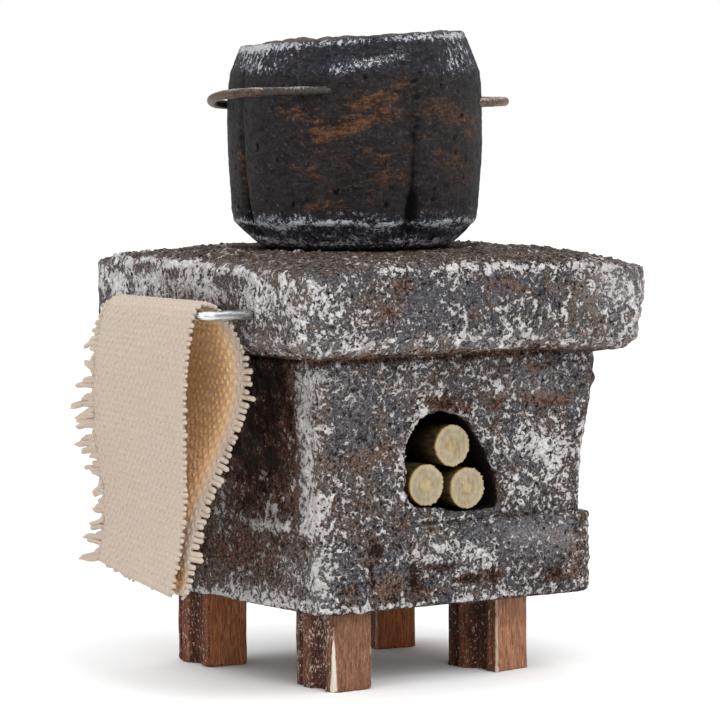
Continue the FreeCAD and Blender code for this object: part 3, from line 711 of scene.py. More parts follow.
    # the hidden bed faces run into the neighbours, so no gap shows
    bed = ((np.abs(N[:, 2]) > 0.8) & ((z < 15.7) | (z > 31.6))).astype(float)
    h = np.where(bed > 0, 0.25, h)
    wht = (-0.02 + 0.34 * patch + Z["wht"] + 0.95 * rimw + 3.0 * line + 0.75 * sillw - 0.75 * joint + 0.30 * lipw
           - 0.9 * inner - 1.2 * black - 0.8 * bite + 0.06 * front + 0.05 * sstep(18 - z, 0, 3) * left - 0.06 * left)
    back = sstep(N[:, 1], 0.4, 0.9)
    right = sstep(N[:, 0], 0.4, 0.9) * (x > 14)
    wht = wht + 0.02 * back + 0.04 * right
    blot = fbm(V / 1.7, 4, 0.66, 64)
    sidez = left * sstep(y, -11.0, -9.0)
    # drk on the towel side is blotched: dark paint and painted shadow of the towel and slab
    drk = np.clip(Z["drk"] * left * (0.70 + 1.8 * blot) + Z["drk"] * front + 0.34 * joint + black + 0.35 * inner, 0, 1)
    wht = wht + sidez * (0.85 * fbm(V / 1.3, 4, 0.66, 63) + 0.30 * sstep(22.0 - z, 0, 4.0) - 0.10)
    for sy, sz, sr in ((-6.6, 17.05, 0.42), (-7.9, 18.1, 0.26), (-9.3, 19.2, 0.22), (-5.0, 20.4, 0.20), (-8.4, 24.6, 0.20), (-3.6, 17.4, 0.22)):
        wht = wht + left * 1.5 * np.exp(-((y - sy) ** 2 + (z - sz) ** 2) / sr ** 2)
    att = dict(hm=hm, wht=wht, rst=Z["rst"] + 1.9 * joint + sidez * (0.5 + 2.6 * fbm(V / 1.9, 4, 0.64, 65)), drk=drk, ton=Z["ton"] + 0.08 * left, ani=left * 0.2,
               smo=np.clip(Z["smo"], 0, 1), lit=Z["lit"])
    V2 = V + N * h[:, None]
    return piece("hearth_block", V2, [F], "stove", ["hearth_body"], PLASTER, att)


# ---- base course
def make_base():
    V, F = even_mesh("base_course", 0.222)
    flat = (V[:, 1] < -13.9) & (np.abs(V[:, 0]) < 14.2) & (V[:, 2] > 8.8) & (V[:, 2] < 15.05)
    V[flat, 1] = -14.85
    V = relax(V, F, 2)
    N = relax(normals(V, F), F, 4)
    N /= np.linalg.norm(N, axis=1)[:, None]
    x, y, z = V.T
    front = sstep(-N[:, 1], 0.5, 0.9) * (y < -13.5)
    left = sstep(-N[:, 0], 0.5, 0.9) * (x < -14.5)
    under = sstep(-N[:, 2], 0.6, 0.9)
    topf = sstep(N[:, 2], 0.6, 0.9)
    tab = [
        ((-15.6, -14.0, 11.0), (1.3, 1.7, 4.6), dict(wht=0.62, lmp=0.3, smo=0.4, lit=1.4)),
        ((-14.4, -15.0, 10.0), (0.7, 1.0, 3.6), dict(wht=0.45)),
        ((-12.4, -15.0, 13.5), (1.6, 1.0, 1.6), dict(wht=0.0, ton=-0.2)),
        ((-11.2, -15.0, 10.0), (1.6, 1.0, 2.2), dict(ton=-0.25, wht=-0.18)),
        ((-12.9, -15.0, 9.4), (0.8, 1.0, 1.9), dict(rst=0.6, wht=-0.2)),
        ((-8.0, -15.0, 9.6), (1.6, 1.0, 1.4), dict(rst=1.2, ton=0.3, wht=-0.22)),
        ((-7.8, -15.0, 12.2), (1.6, 1.0, 1.0), dict(wht=0.14, lmp=0.8)),
        ((-9.4, -15.0, 13.4), (0.9, 1.2, 0.9), dict(drk=0.8, wht=-0.7)),
        # crusty area under the opening
        ((-4.2, -15.0, 12.2), (1.6, 1.0, 1.0), dict(wht=0.54, lmp=1.0, dis=0.10)),
        ((-1.0, -15.0, 13.0), (2.4, 1.0, 0.9), dict(wht=0.54, lmp=1.0, dis=0.10)),
        ((2.6, -15.0, 12.2), (1.7, 1.0, 0.8), dict(wht=0.60, lmp=1.0, dis=0.10)),
        ((0.2, -15.0, 10.6), (5.2, 1.0, 0.9), dict(wht=0.34, lmp=1.0)),
        ((-1.0, -15.0, 12.4), (6.0, 1.0, 2.0), dict(lit=0.9, wht=0.12)),
        ((-1.8, -15.0, 11.2), (1.8, 1.0, 0.45), dict(drk=0.9, wht=-0.7, dis=-0.25)),
        ((0.9, -15.0, 9.9), (1.6, 1.0, 0.40), dict(drk=0.9, wht=-0.7, dis=-0.22)),
        ((-4.9, -15.0, 10.4), (0.9, 1.0, 1.6), dict(drk=0.7, rst=0.8, wht=-0.45, dis=-0.12)),
        ((3.6, -15.0, 10.1), (1.7, 1.0, 0.7), dict(rst=1.5, wht=-0.4)),
        ((-3.4, -15.0, 9.0), (2.0, 1.0, 0.6), dict(rst=0.9, wht=-0.1)),
        # smooth slate grey to the right
        ((7.6, -15.0, 13.8), (3.4, 1.0, 1.6), dict(ton=-0.4, smo=0.45, wht=0.18, lit=1.8)),
        ((12.2, -15.0, 13.2), (3.2, 1.0, 2.0), dict(ton=-0.3, smo=0.45, wht=0.18, lit=1.9)),
        ((3.2, -15.0, 14.2), (2.4, 1.0, 0.9), dict(ton=-0.3, smo=0.6, wht=-0.08)),
        ((11.6, -15.0, 9.6), (1.7, 1.0, 1.0), dict(drk=0.55, rst=0.9, wht=-0.35, dis=-0.1)),
        ((14.4, -15.0, 10.6), (1.2, 1.0, 2.2), dict(rst=0.8, ton=0.2, wht=-0.05)),
        ((8.2, -15.0, 9.6), (2.0, 1.0, 1.2), dict(wht=0.12, lmp=0.8)),
        ((16.4, -14.6, 11.0), (0.7, 1.0, 4.0), dict(wht=0.40)),
        # towel side
        ((-15.8, -2.0, 12.6), (1.2, 8.0, 2.6), dict(drk=0.38, ton=0.5, wht=0.08, rst=1.1, lit=0.8)),
        ((-15.8, -5.0, 8.7), (1.2, 8.5, 0.9), dict(wht=0.72, smo=0.3, lit=1.0)),
        ((-15.8, -10.5, 11.0), (1.2, 3.4, 2.6), dict(wht=0.10, lit=0.7)),
        ((-15.8, 9.0, 12.5), (1.2, 6.0, 3.0), dict(drk=0.75, ton=0.2, wht=-0.2)),
    ]
    Z = zones(V, tab, KEYS)
    for k, v in far_sides(V, N, 261).items():
        Z[k] = Z[k] + v
    patch = fbm(V / 4.2, 3, 0.5, 81)
    low = np.exp(-((z - 7.95) / 0.34) ** 2) * (1 - topf)
    topedge = np.exp(-((z - 15.35) / 0.28) ** 2)
    lump = np.clip(0.30 + 0.8 * patch + Z["lmp"] + 0.5 * low, 0, 1.3)
    h, hm = rough_plaster(V, N, left * 0.5, 1.0, lump, 91)
    joints = np.zeros(len(V))
    for gx, z0_, z1_, sd in ((-9.9, 8.6, 12.6, 95), (-7.4, 8.4, 10.6, 98), (-5.3, 9.0, 12.8, 99), (4.3, 9.0, 11.6, 94)):
        wob = 0.75 * gn(V / 1.3, sd) + 0.25 * gn(V / 0.5, sd + 40)
        wid = 0.20 + 0.22 * sstep(gn(V / 1.5, sd + 60), -0.3, 0.5)
        joints = np.maximum(joints, np.exp(-((x - gx + wob) / wid) ** 2) * sstep(z1_ - z, 0, 0.9) * sstep(z, z0_, z0_ + 0.8))
    joints *= front * sstep(gn(V / 1.1, 96), -0.55, 0.0)
    h = h + Z["dis"] + 0.12 * low - 0.22 * joints + 0.26 * low * fbm(V / 0.8, 2, 0.6, 93)
    h = h * (1 - 0.8 * under)
    h = h - 0.16 * np.exp(-((z - 15.5) / 0.5) ** 2) * np.maximum(left, front * sstep(-x, 5.5, 7.5))
    h = np.where((topf > 0.5) & (z > 15.2) & (x > -14.9) & (x < 15.3) & (np.abs(y) < 13.8), 0.2, h)
    brk = sstep(fbm(V / 2.2, 2, 0.5, 97), -0.35, 0.1)
    wht = (-0.04 + 0.26 * patch + Z["wht"] + 0.78 * low * brk * (0.35 + 0.65 * np.maximum(left, sstep(5 - x, 0, 3)))
           + 0.30 * topedge * brk * (0.3 + front) - 0.55 * joints - 0.4 * under + 0.25 * front * np.exp(-((x + 10.45) / 0.35) ** 2) * sstep(13 - z, 0, 1))
    # drk also darkens the downward faces: painted shade
    drk = np.clip(Z["drk"] + 0.75 * joints + 0.35 * under, 0, 1)
    att = dict(hm=hm, wht=wht, rst=Z["rst"] + 0.3 * joints, drk=drk, ton=Z["ton"], ani=left * 0.15,
               smo=np.clip(Z["smo"], 0, 1), lit=Z["lit"])
    V2 = V + N * h[:, None]
    return piece("base_block", V2, [F], "stove", ["base_course"], PLASTER, att)


# ------------------------------------------------------------------ legs
def leg_look():
    L = Look("leg_wood")
    g = L.vec(L.P, (1.0, 1.0, 0.10))
    grain = L.noise(g, 7.5, 5.0, 0.66, 0.3)
    fib = L.noise(L.vec(L.P, (1.0, 1.0, 0.09)), 15.0, 3.0, 0.65)
    blot = L.noise(L.P, 0.62, 4.0, 0.64)
    flute, edge, ridge, gain, warm, fuzz = (L.attr(k) for k in ("flute", "edge", "ridge", "gain", "warm", "fuzz"))
    col = L.mix(L.step(grain, 0.36, 0.66), srgb(110, 66, 43), srgb(178, 130, 99))
    col = L.mix(L.step(fib, 0.46, 0.70, 0.0, 0.50), col, srgb(78, 45, 31))
    col = L.mix(L.step(grain, 0.30, 0.42, 0.55, 0.0), col, srgb(66, 36, 25))
    col = L.mix(L.step(blot, 0.42, 0.62, 0.0, 0.40), col, srgb(128, 84, 60))
    # the fluted side is darker with lighter flats: painted shade in the grooves and on the side away from the light
    dark = L.mix(L.step(grain, 0.38, 0.62), srgb(34, 15, 9), srgb(92, 50, 31))
    dark = L.mix(L.m("MULTIPLY", ridge, 0.80), dark, L.mix(L.step(grain, 0.36, 0.64), srgb(66, 37, 24), srgb(134, 88, 62)))
    col = L.mix(flute, col, dark)
    # warm and gain: per-leg orange cast and brightness, painted bounce light and shade
    col = L.mix(warm, col, L.mix(1.0, col, (1.0, 0.66, 0.36), "MULTIPLY"))
    g3 = L.t.nodes.new("ShaderNodeCombineColor")
    for k in range(3):
        L.put(g3.inputs[k], gain)
    col = L.mix(1.0, col, g3.outputs[0], "MULTIPLY")
    worn = L.step(L.m("ADD", edge, L.m("MULTIPLY_ADD", fib, 1.0, -0.5)), 0.46, 0.75)
    col = L.mix(worn, col, srgb(196, 172, 152))
    col = L.mix(L.step(edge, 0.95, 1.25), col, srgb(216, 206, 195))
    spk = L.step(L.m("MULTIPLY_ADD", fuzz, 0.07, L.noise(L.vec(L.P, (1.0, 1.0, 0.6)), 4.6, 4.0, 0.7)), 0.585, 0.65)
    col = L.mix(L.m("MULTIPLY", spk, L.m("MULTIPLY_ADD", flute, 0.62, 0.16)), col, srgb(205, 188, 172))
    nrm = L.bump(L.m("MULTIPLY_ADD", fib, 0.5, grain), 0.00012, 0.8)
    return L.done(col, L.step(grain, 0.3, 0.7, 0.62, 0.8), nrm, Specular_IOR_Level=0.3)


LEG_LOOK = leg_look()
LEGS = {"leg_front_left": (-13.40, -13.45, 1.3, 1), "leg_front_right": (6.80, -11.93, 11.0, 2),
        "leg_rear_left": (-14.20, 7.20, -2.3, 3), "leg_rear_right": (6.10, 7.60, -11.3, 4)}


def make_leg(name, x0, y0, turn, seed):
    V, F = even_mesh(name, 0.112)
    V = relax(V, F, 1)
    N = normals(V, F)
    N = relax(N, F, 1)
    N /= np.linalg.norm(N, axis=1)[:, None]
    a = math.radians(turn)
    ca, sa = math.cos(a), math.sin(a)
    u = (V[:, 0] - x0) * ca + (V[:, 1] - y0) * sa
    v = -(V[:, 0] - x0) * sa + (V[:, 1] - y0) * ca
    z = V[:, 2]
    nu = N[:, 0] * ca + N[:, 1] * sa
    Q = np.stack([u, v, z], 1)
    rib = np.sin(v * 5.2 + 1.0) * sstep(-nu, 0.25, 0.7)
    g1 = gn(Q * np.array([2.6, 2.6, 0.22]), seed)
    g2 = gn(Q * np.array([5.5, 5.5, 0.5]), seed + 9)
    low = gn(Q / np.array([3.0, 3.0, 5.0]), seed + 17)
    side = 1 - sstep(np.abs(N[:, 2]), 0.5, 0.9)
    h = side * (0.055 * g1 + 0.035 * g2 + 0.06 * low + 0.07 * rib)
    # splinters and crushed fibres round the foot
    foot = sstep(0.9 - z, 0.0, 0.9)
    rag = gn(Q * np.array([3.4, 3.4, 0.9]), seed + 23)
    h = h + side * foot * 0.16 * rag
    V2 = V + N * h[:, None]
    # the sawn foot is uneven but stands on the floor
    dz = 0.16 * sstep(gn(Q * np.array([1.6, 1.6, 0]), seed + 31), -0.2, 0.7) * sstep(0.5 - z, 0, 0.5)
    V2[:, 2] = np.maximum(V2[:, 2] + dz, 0.0)
    # flute marks the fluted side and ridge its flats, for the painted shade in the grooves
    flute = sstep(-nu, 0.25, 0.7) * side
    vw = v + 0.10 * gn(Q * np.array([1.0, 1.0, 0.5]), seed + 41)
    ridge = np.maximum(sstep(1.15 - vw, -0.15, 0.2), sstep(0.62 - np.abs(vw - 4.55), -0.12, 0.2)) + 0.6 * sstep(vw, 6.2, 6.6)
    # bare wood where the corners have worn
    du, dv = np.minimum(u, 4.4 - u), np.minimum(v, 7.0 - v)
    edge = np.exp(-(np.hypot(du, dv) / 0.22) ** 2) * 0.35
    edge = edge + 0.36 * foot * sstep(rag, -0.2, 0.6)
    if seed == 1:
        # split wedge on the near corner shows bare wood
        cu = np.maximum(0.87 - 0.82 * (z + 1.0) / 6.8, 0.05)
        cv = np.maximum(0.52 - 0.49 * (z + 1.0) / 6.8, 0.04)
        wedge = sstep(1.75 - (1.9 * u / cu + v / cv), 0.0, 0.35) * sstep(6.3 - z, 0, 0.6)
        edge = edge + 1.5 * wedge
        edge = edge + 0.45 * sstep(u, 4.15, 4.4) * sstep(gn(Q * np.array([3, 3, 1.6]), 77), 0.1, 0.5)
    if seed == 2:
        edge = edge + 0.5 * np.exp(-(np.hypot(u, v) / 0.32) ** 2)
    if seed == 4:
        edge = edge + 0.45 * np.exp(-((u - 0.1) / 0.35) ** 2) * sstep(0.6 - v, 0, 0.6)
    # per leg and face: brightness and orange cast as painted light, shade and bounce light, less on faces turned away
    g_right, g_flute, w_right, w_flute, fz = {1: (0.74, 1.0, 0.10, 0.0, 1.0), 2: (1.16, 1.0, 0.0, 0.45, 0.15),
                                              3: (1.20, 1.20, 0.62, 0.60, 0.3), 4: (1.15, 1.15, 0.95, 0.95, 0.0)}[seed]
    gain = g_right + (g_flute - g_right) * flute
    away = np.maximum(sstep(N[:, 1], 0.2, 0.7), sstep(N[:, 0], 0.2, 0.7))
    warm = (w_right + (w_flute - w_right) * flute) * (1 - 0.75 * away)
    gain = gain * (1 - 0.10 * away)
    fuzz = fz * flute * sstep(gn(Q / np.array([1.0, 1.2, 2.0]), seed + 51), -0.4, 0.3)
    node = name
    return piece(name.replace("leg", "foot") , V2, [F], "stove", [node], LEG_LOOK,
                 dict(flute=flute, edge=edge, ridge=np.clip(ridge, 0, 1), gain=gain, warm=warm, fuzz=fuzz))


# ------------------------------------------------------------------ firewood
def log_look():
    L = Look("log_wood")
    endm, edge = L.attr("endm"), L.attr("edge")
    ring = L.attr("ring")
    saw = L.noise(L.vec(L.P, (3.0, 1.0, 0.9)), 1.2, 4.0, 0.6, 0.3)
    spk = L.noise(L.P, 5.5, 3.0, 0.6)
    blot = L.noise(L.P, 0.9, 3.0, 0.6, 0.5)
    rg = L.m("SINE", L.m("MULTIPLY_ADD", ring, 17.0, L.m("MULTIPLY", saw, 5.0)))
    end = L.mix(L.step(saw, 0.34, 0.68), srgb(132, 117, 88), srgb(166, 152, 124))
    end = L.mix(L.step(rg, 0.1, 0.95, 0.0, 0.40), end, srgb(132, 110, 76))
    end = L.mix(L.step(blot, 0.48, 0.66, 0.0, 0.40), end, srgb(178, 168, 144))
    end = L.mix(L.step(spk, 0.48, 0.72, 0.0, 0.45), end, srgb(142, 116, 74))
    end = L.mix(L.step(ring, 0.30, 0.62, 0.0, 0.30), end, srgb(160, 154, 138))
    end = L.mix(L.m("MULTIPLY", L.step(ring, 0.05, 0.48, 0.42, 0.0), L.step(blot, 0.36, 0.62, 0.35, 1.0)), end, srgb(190, 166, 116))
    end = L.mix(L.step(ring, 0.80, 0.86, 0.0, 0.30), end, srgb(186, 170, 134))
    end = L.mix(L.step(edge, 0.42, 0.90, 0.0, 0.90), end, srgb(160, 114, 56))
    bark = L.noise(L.vec(L.P, (1.0, 0.22, 1.0)), 3.6, 4.0, 0.6)
    # bark colour, kept dark as painted shade inside the niche
    side = L.mix(L.step(bark, 0.36, 0.66), srgb(50, 38, 20), srgb(92, 76, 44))
    side = L.mix(L.step(spk, 0.55, 0.75, 0.0, 0.5), side, srgb(60, 46, 26))
    col = L.mix(endm, side, end)
    # darker deeper inside the niche: painted shade
    col = L.mix(L.m("MULTIPLY", L.attr("deep"), 0.80), col, srgb(22, 17, 9))
    nrm = L.bump(L.m("ADD", saw, L.m("MULTIPLY", spk, 0.5)), 0.00012, 0.8)
    return L.done(col, 0.72, nrm, Specular_IOR_Level=0.25)


LOG_LOOK = log_look()


def make_log(name, body, cx, cz, seed):
    nt = 150
    th = np.arange(nt) * 2 * np.pi / nt
    R, y0, y1 = 2.03, -13.8, -1.8
    rows = []
    for r in np.linspace(0.0, 1.0, 26)[1:]:
        rows.append((R * 0.985 * r, y0, 1.0))
    rows.append((R, y0 + 0.12, 0.5))
    for yy in np.linspace(y0 + 0.3, y1 - 0.12, 90):
        rows.append((R, yy, 0.0))
    for r in np.linspace(0.98, 0.06, 10):
        rows.append((R * r, y1, 1.0))
    rows = np.array(rows)
    n = len(rows)
    rr = rows[:, 0][:, None]
    T = np.broadcast_to(th, (n, nt))
    P = np.stack([cx + rr * np.cos(T), np.broadcast_to(rows[:, 1][:, None], (n, nt)), cz + rr * np.sin(T)], 2).reshape(-1, 3)
    endm = np.repeat(rows[:, 2], nt)
    radial = np.stack([np.cos(T), np.zeros((n, nt)), np.sin(T)], 2).reshape(-1, 3)
    fr = np.repeat(rows[:, 0] / R, nt)
    # not quite round, with a rough sawn face whose rim is frayed
    out = -0.05 + 0.045 * gn(np.stack([np.cos(T) * 1.1, np.full((n, nt), seed * 3.0), np.sin(T) * 1.1], 2).reshape(-1, 3), seed)
    out = out + 0.03 * gn(P * np.array([3.2, 0.4, 3.2]), seed + 3)
    P2 = P + radial * (out * np.minimum(fr, 1.0))[:, None]
    fray = sstep(-P[:, 1], 13.3, 13.75) * sstep(fr, 0.8, 1.0) * np.maximum(gn(P * np.array([5.0, 1.2, 5.0]), seed + 5) + 0.05, 0)
    P2 = P2 + radial * ((0.07 + 0.13 * sstep(gn(P / 1.5, seed + 6), -0.3, 0.5)) * fray)[:, None]
    face = (P[:, 1] < y0 + 0.05)
    saw = gn(P * np.array([3.6, 1.0, 0.7]), seed + 7)
    P2[:, 1] += np.where(face, 0.05 * saw - 0.10 * fray, 0.0)
    edge = sstep(fr, 0.82, 1.0) * (0.62 + 0.50 * gn(P * 3.6, seed + 8)) * endm + (endm > 0.4) * (endm < 0.6) * 1.0
    F = grid_faces(n, nt)
    caps = [np.arange(nt)[::-1][None], ((n - 1) * nt + np.arange(nt))[None]]
    # deep: how far the stick lies inside the niche, for its painted shade
    return piece("fire_" + name.replace("log_", "stick_"), P2, [F] + caps, body, [name], LOG_LOOK,
                 dict(endm=endm, edge=edge, ring=fr, deep=sstep(P[:, 1], -13.6, -10.5) * (P[:, 1] < -1.9)))


# ------------------------------------------------------------------ pot
POT_OUT = [(8.7, 41.27), (9.4, 41.55), (10.85, 42.9), (11.8, 44.0), (12.02, 45.6), (12.2, 48.0), (12.36, 50.7),
           (12.42, 53.0), (12.40, 55.3), (12.30, 57.0), (12.12, 58.4), (11.40, 60.3), (10.75, 61.8), (10.35, 63.2)]


def pot_look():
    L = Look("pot_black")
    hm, rus, wht, scr, blu = (L.attr(k) for k in ("hm", "rus", "wht", "scr", "blu"))
    P = L.P
    brush = L.noise(L.vec(P, (1.0, 1.0, 2.2)), 0.8, 6.0, 0.66, 0.9)
    fine = L.noise(P, 3.2, 5.0, 0.68, 0.5)
    strk = L.noise(L.vec(P, (1.0, 1.0, 0.16)), 3.0, 4.0, 0.65, 0.2)
    mic = L.noise(P, 8.5, 3.0, 0.65)
    blot = L.noise(L.vec(P, (9.0, 3.0, 1.0), "ADD"), 0.42, 6.0, 0.66, 1.0)
    cool = L.mix(L.step(brush, 0.36, 0.64), srgb(21, 20, 24), srgb(43, 43, 51))
    warm = L.mix(L.step(brush, 0.36, 0.64), srgb(19, 16, 16), srgb(41, 36, 35))
    strd = L.noise(L.vec(L.P, (1.0, 1.0, 2.6)), 0.9, 5.0, 0.68, 1.2)
    base = L.mix(blu, warm, cool)
    base = L.mix(L.step(fine, 0.50, 0.74, 0.0, 0.52), base, srgb(82, 76, 76))
    base = L.mix(L.step(fine, 0.32, 0.47, 0.80, 0.0), base, srgb(11, 9, 9))
    rm = L.step(L.m("ADD", L.m("MULTIPLY", rus, 0.20), L.m("MULTIPLY_ADD", strd, 0.9, L.m("MULTIPLY", blot, 0.5))), 0.72, 0.94)
    rcol = L.mix(L.step(L.m("MULTIPLY_ADD", fine, 0.42, L.m("MULTIPLY", brush, 0.58)), 0.40, 0.60), srgb(36, 25, 19), srgb(98, 67, 43))
    base = L.mix(L.m("MULTIPLY", rm, 0.80), base, rcol)
    hot = L.step(L.m("ADD", L.m("MULTIPLY", rus, 0.20), L.m("MULTIPLY_ADD", fine, 0.24, L.m("MULTIPLY", strd, 0.76))), 0.655, 0.80)
    base = L.mix(L.m("MULTIPLY", hot, 0.40), base, srgb(122, 76, 42))
    base = L.mix(L.step(hm, -1.6, -0.55, 0.92, 0.0), base, srgb(8, 7, 7))
    H = L.m("ADD", L.m("ADD", wht, L.m("MULTIPLY", hm, 0.22)), L.m("MULTIPLY_ADD", fine, 4.0, -2.0))
    H = L.m("ADD", H, L.m("MULTIPLY", L.m("MULTIPLY_ADD", strk, 5.0, -2.5), scr))
    H = L.m("ADD", H, L.m("MULTIPLY_ADD", mic, 1.6, -0.8))
    W = L.step(H, 0.46, 0.72)
    haze = L.step(H, -0.10, 0.55, 0.0, 0.52)
    col = L.mix(haze, base, srgb(110, 113, 125))
    col = L.mix(L.m("MULTIPLY", W, 0.85), col, srgb(196, 197, 199))
    hgt = L.m("ADD", L.m("MULTIPLY", fine, 1.0), L.m("MULTIPLY_ADD", mic, 0.35, L.m("MULTIPLY", brush, 0.5)))
    nrm = L.bump(hgt, 0.00032, 1.0)
    return L.done(col, L.step(fine, 0.3, 0.7, 0.48, 0.74), nrm, Specular_IOR_Level=0.15)


POT_LOOK = pot_look()
CREASES = (-96.6, 172.0, 83.4, -8.0)
RIM_DIR = np.array([0.822, -0.569])


def rim_height(x, y):
    return 61.62 + 0.0628 * (x * RIM_DIR[0] + y * RIM_DIR[1])


def make_pot():
    nt, nw = 620, 128
    th = np.arange(nt) * 2 * np.pi / nt
    zt = np.linspace(41.27, 63.4, 900)
    rt = np.interp(zt, [p[1] for p in POT_OUT], [p[0] for p in POT_OUT])
    k = np.exp(-np.linspace(-2, 2, 15) ** 2)
    rt_s = np.convolve(np.pad(rt, 7, mode="edge"), k / k.sum(), mode="valid")
    rt = np.where(zt < 41.9, rt, rt_s)
    ca, sa = np.cos(th), np.sin(th)
    dist = lambda a: np.abs((np.degrees(th) - a + 180) % 360 - 180)
    dcr = np.min([dist(a) for a in CREASES], axis=0)          # degrees from the nearest crease
    rows, tag = [], []
    for r in (0.7, 2.0, 3.6, 5.2, 6.6, 7.6, 8.2, 8.55):        # underside
        rows.append((np.full(nt, r), np.full(nt, 41.27))); tag.append(0)
    ztop = rim_height(10.9 * ca, 10.9 * sa) - 0.28
    for v in np.linspace(0, 1, nw):                            # outer wall
        z = 41.27 + v * (ztop - 41.27)
        rows.append((np.interp(z, zt, rt), z)); tag.append(1)
    rtop = rows[-1][0]
    for f in np.linspace(0, 1, 8)[1:]:                         # rounded lip
        ang = f * np.pi
        w = (rtop - 9.55) / 2
        rows.append((rtop - w * (1 - np.cos(ang)), ztop + 0.30 * np.sin(ang) ** 0.7 + 0.0 * w)); tag.append(2)
    for zz in (60.6, 59.0, 56.0, 52.0, 48.5, 47.2):            # inner wall
        rows.append((np.full(nt, 9.52), np.full(nt, zz))); tag.append(3)
    for r, zz in ((9.0, 46.5), (8.2, 46.1), (6.0, 46.0), (3.0, 46.0), (0.8, 46.0)):
        rows.append((np.full(nt, r), np.full(nt, zz))); tag.append(4)
    R = np.array([r for r, _ in rows])
    Zz = np.array([z for _, z in rows])
    tag = np.array(tag)
    n = len(R)
    T = np.broadcast_to(th, (n, nt))
    D = np.broadcast_to(dcr, (n, nt))
    arc = np.radians(D) * R
    # soft lobes between upright creases, which open into notches at the foot
    wall = sstep(Zz, 41.6, 43.5)
    lobe = 0.16 * (np.sin(np.radians(np.minimum(D, 45.0) * 2)) - 0.5) * wall * (tag[:, None] <= 2)
    up = sstep(Zz, 43.0, 44.5) * (1 - sstep(Zz, 57.0, 60.5))
    wob = 0.25 * gn(np.stack([T * 2, Zz / 3.0, T * 0], 2).reshape(-1, 3), 5).reshape(n, nt)
    deep = 0.20 + 0.34 * sstep(54.5 - Zz, 0.0, 7.0)
    crease = -deep * np.exp(-((arc + wob) / 0.42) ** 2) * up
    crease = crease - 0.14 * np.exp(-(arc / 2.0) ** 2) * up
    nw_ = np.clip((47.4 - Zz) / 4.0, 0, 1)
    notch = -0.95 * np.exp(-(arc / (0.30 + 0.75 * nw_)) ** 2) * sstep(47.6 - Zz, 0, 2.2) * sstep(Zz, 42.0, 43.0)
    on = (tag[:, None] == 1) | (tag[:, None] == 2)
    X = (R + lobe) * np.cos(T)
    Y = (R + lobe) * np.sin(T)
    P = np.stack([X, Y, Zz], 2).reshape(-1, 3)
    low = 0.10 * gn(P / 6.0, 101) + 0.08 * gn(P / np.array([2.6, 2.6, 4.5]), 102)
    mid = fbm(P / np.array([1.5, 1.5, 1.0]), 3, 0.55, 103)
    fine = fbm(P / 0.6, 2, 0.6, 104)
    jog = 0.22 * np.stack([gn(P / 0.5, 112), gn(P / 0.5, 113), gn(P / 0.5, 114)], 1)
    F1, F2, rid = worley((P + jog) * np.array([1.0, 1.0, 0.72]) / 1.6, 105)
    pit = sstep(0.06 + 0.15 * rid - F1, 0.0, 0.07) * (rid > 0.50)
    E1, _, eid = worley(P / np.array([1.1, 1.1, 0.7]) + 3.3, 106)
    chip = sstep(0.42 - E1, 0.0, 0.25) * (eid > 0.72)
    zz = P[:, 2]
    az = np.degrees(np.arctan2(P[:, 1], P[:, 0]))
    # worn ledge round the foot and the two low ridges that the paint catches
    led = 1.0 * np.exp(-((zz - 43.85 - 0.35 * gn(P / 2.5, 110) - 0.16 * gn(P / 0.7, 120)) / 0.24) ** 2) * (0.35 + 0.65 * sstep(gn(P / 0.9, 117), -0.35, 0.25)) + 0.75 * np.exp(-((zz - 44.9 - 0.40 * gn(P / 2.2, 111)) / 0.30) ** 2) * sstep(gn(P / 1.7, 118), -0.45, 0.1)
    h = low + 0.075 * mid + 0.04 * fine - 0.24 * pit - 0.10 * chip + 0.07 * led
    h = h.reshape(n, nt)
    h = np.where(on, h, 0.0)
    fade = np.where(tag[:, None] == 1, sstep(Zz, 41.3, 42.0), 1.0)
    tot = (h * fade + np.where(on, crease + notch, 0.0))
    X = X + tot * np.cos(T)
    Y = Y + tot * np.sin(T)
    Zf = Zz + np.where(tag[:, None] == 2, (0.10 * mid + 0.05 * fine).reshape(n, nt), 0.0)
    V = np.stack([X + POT_C[0], Y + POT_C[1], Zf], 2).reshape(-1, 3)
    cre = (crease + notch).reshape(-1)
    onf = np.broadcast_to(on, (n, nt)).reshape(-1)
    hm = 0.8 * mid + 0.4 * fine - 1.9 * pit - 0.9 * chip + 2.2 * np.minimum(cre, 0) + 0.5 * led
    ad = lambda a, w: np.exp(-(((az - a + 180) % 360 - 180) / w) ** 2)
    zd = lambda a, w: np.exp(-((zz - a) / w) ** 2)
    lip = zz - rim_height(P[:, 0], P[:, 1])

    def streak(a0, z0, a1, z1, wd):
        """Brushed stroke between two points of the wall, given by azimuth and height."""
        A = ((az - a0 + 180) % 360 - 180) * 0.216
        B = zz - z0
        dx, dz = (a1 - a0) * 0.216, z1 - z0
        t_ = np.clip((A * dx + B * dz) / (dx * dx + dz * dz), 0, 1)
        return np.exp(-(np.hypot(A - t_ * dx, B - t_ * dz) / wd) ** 2)

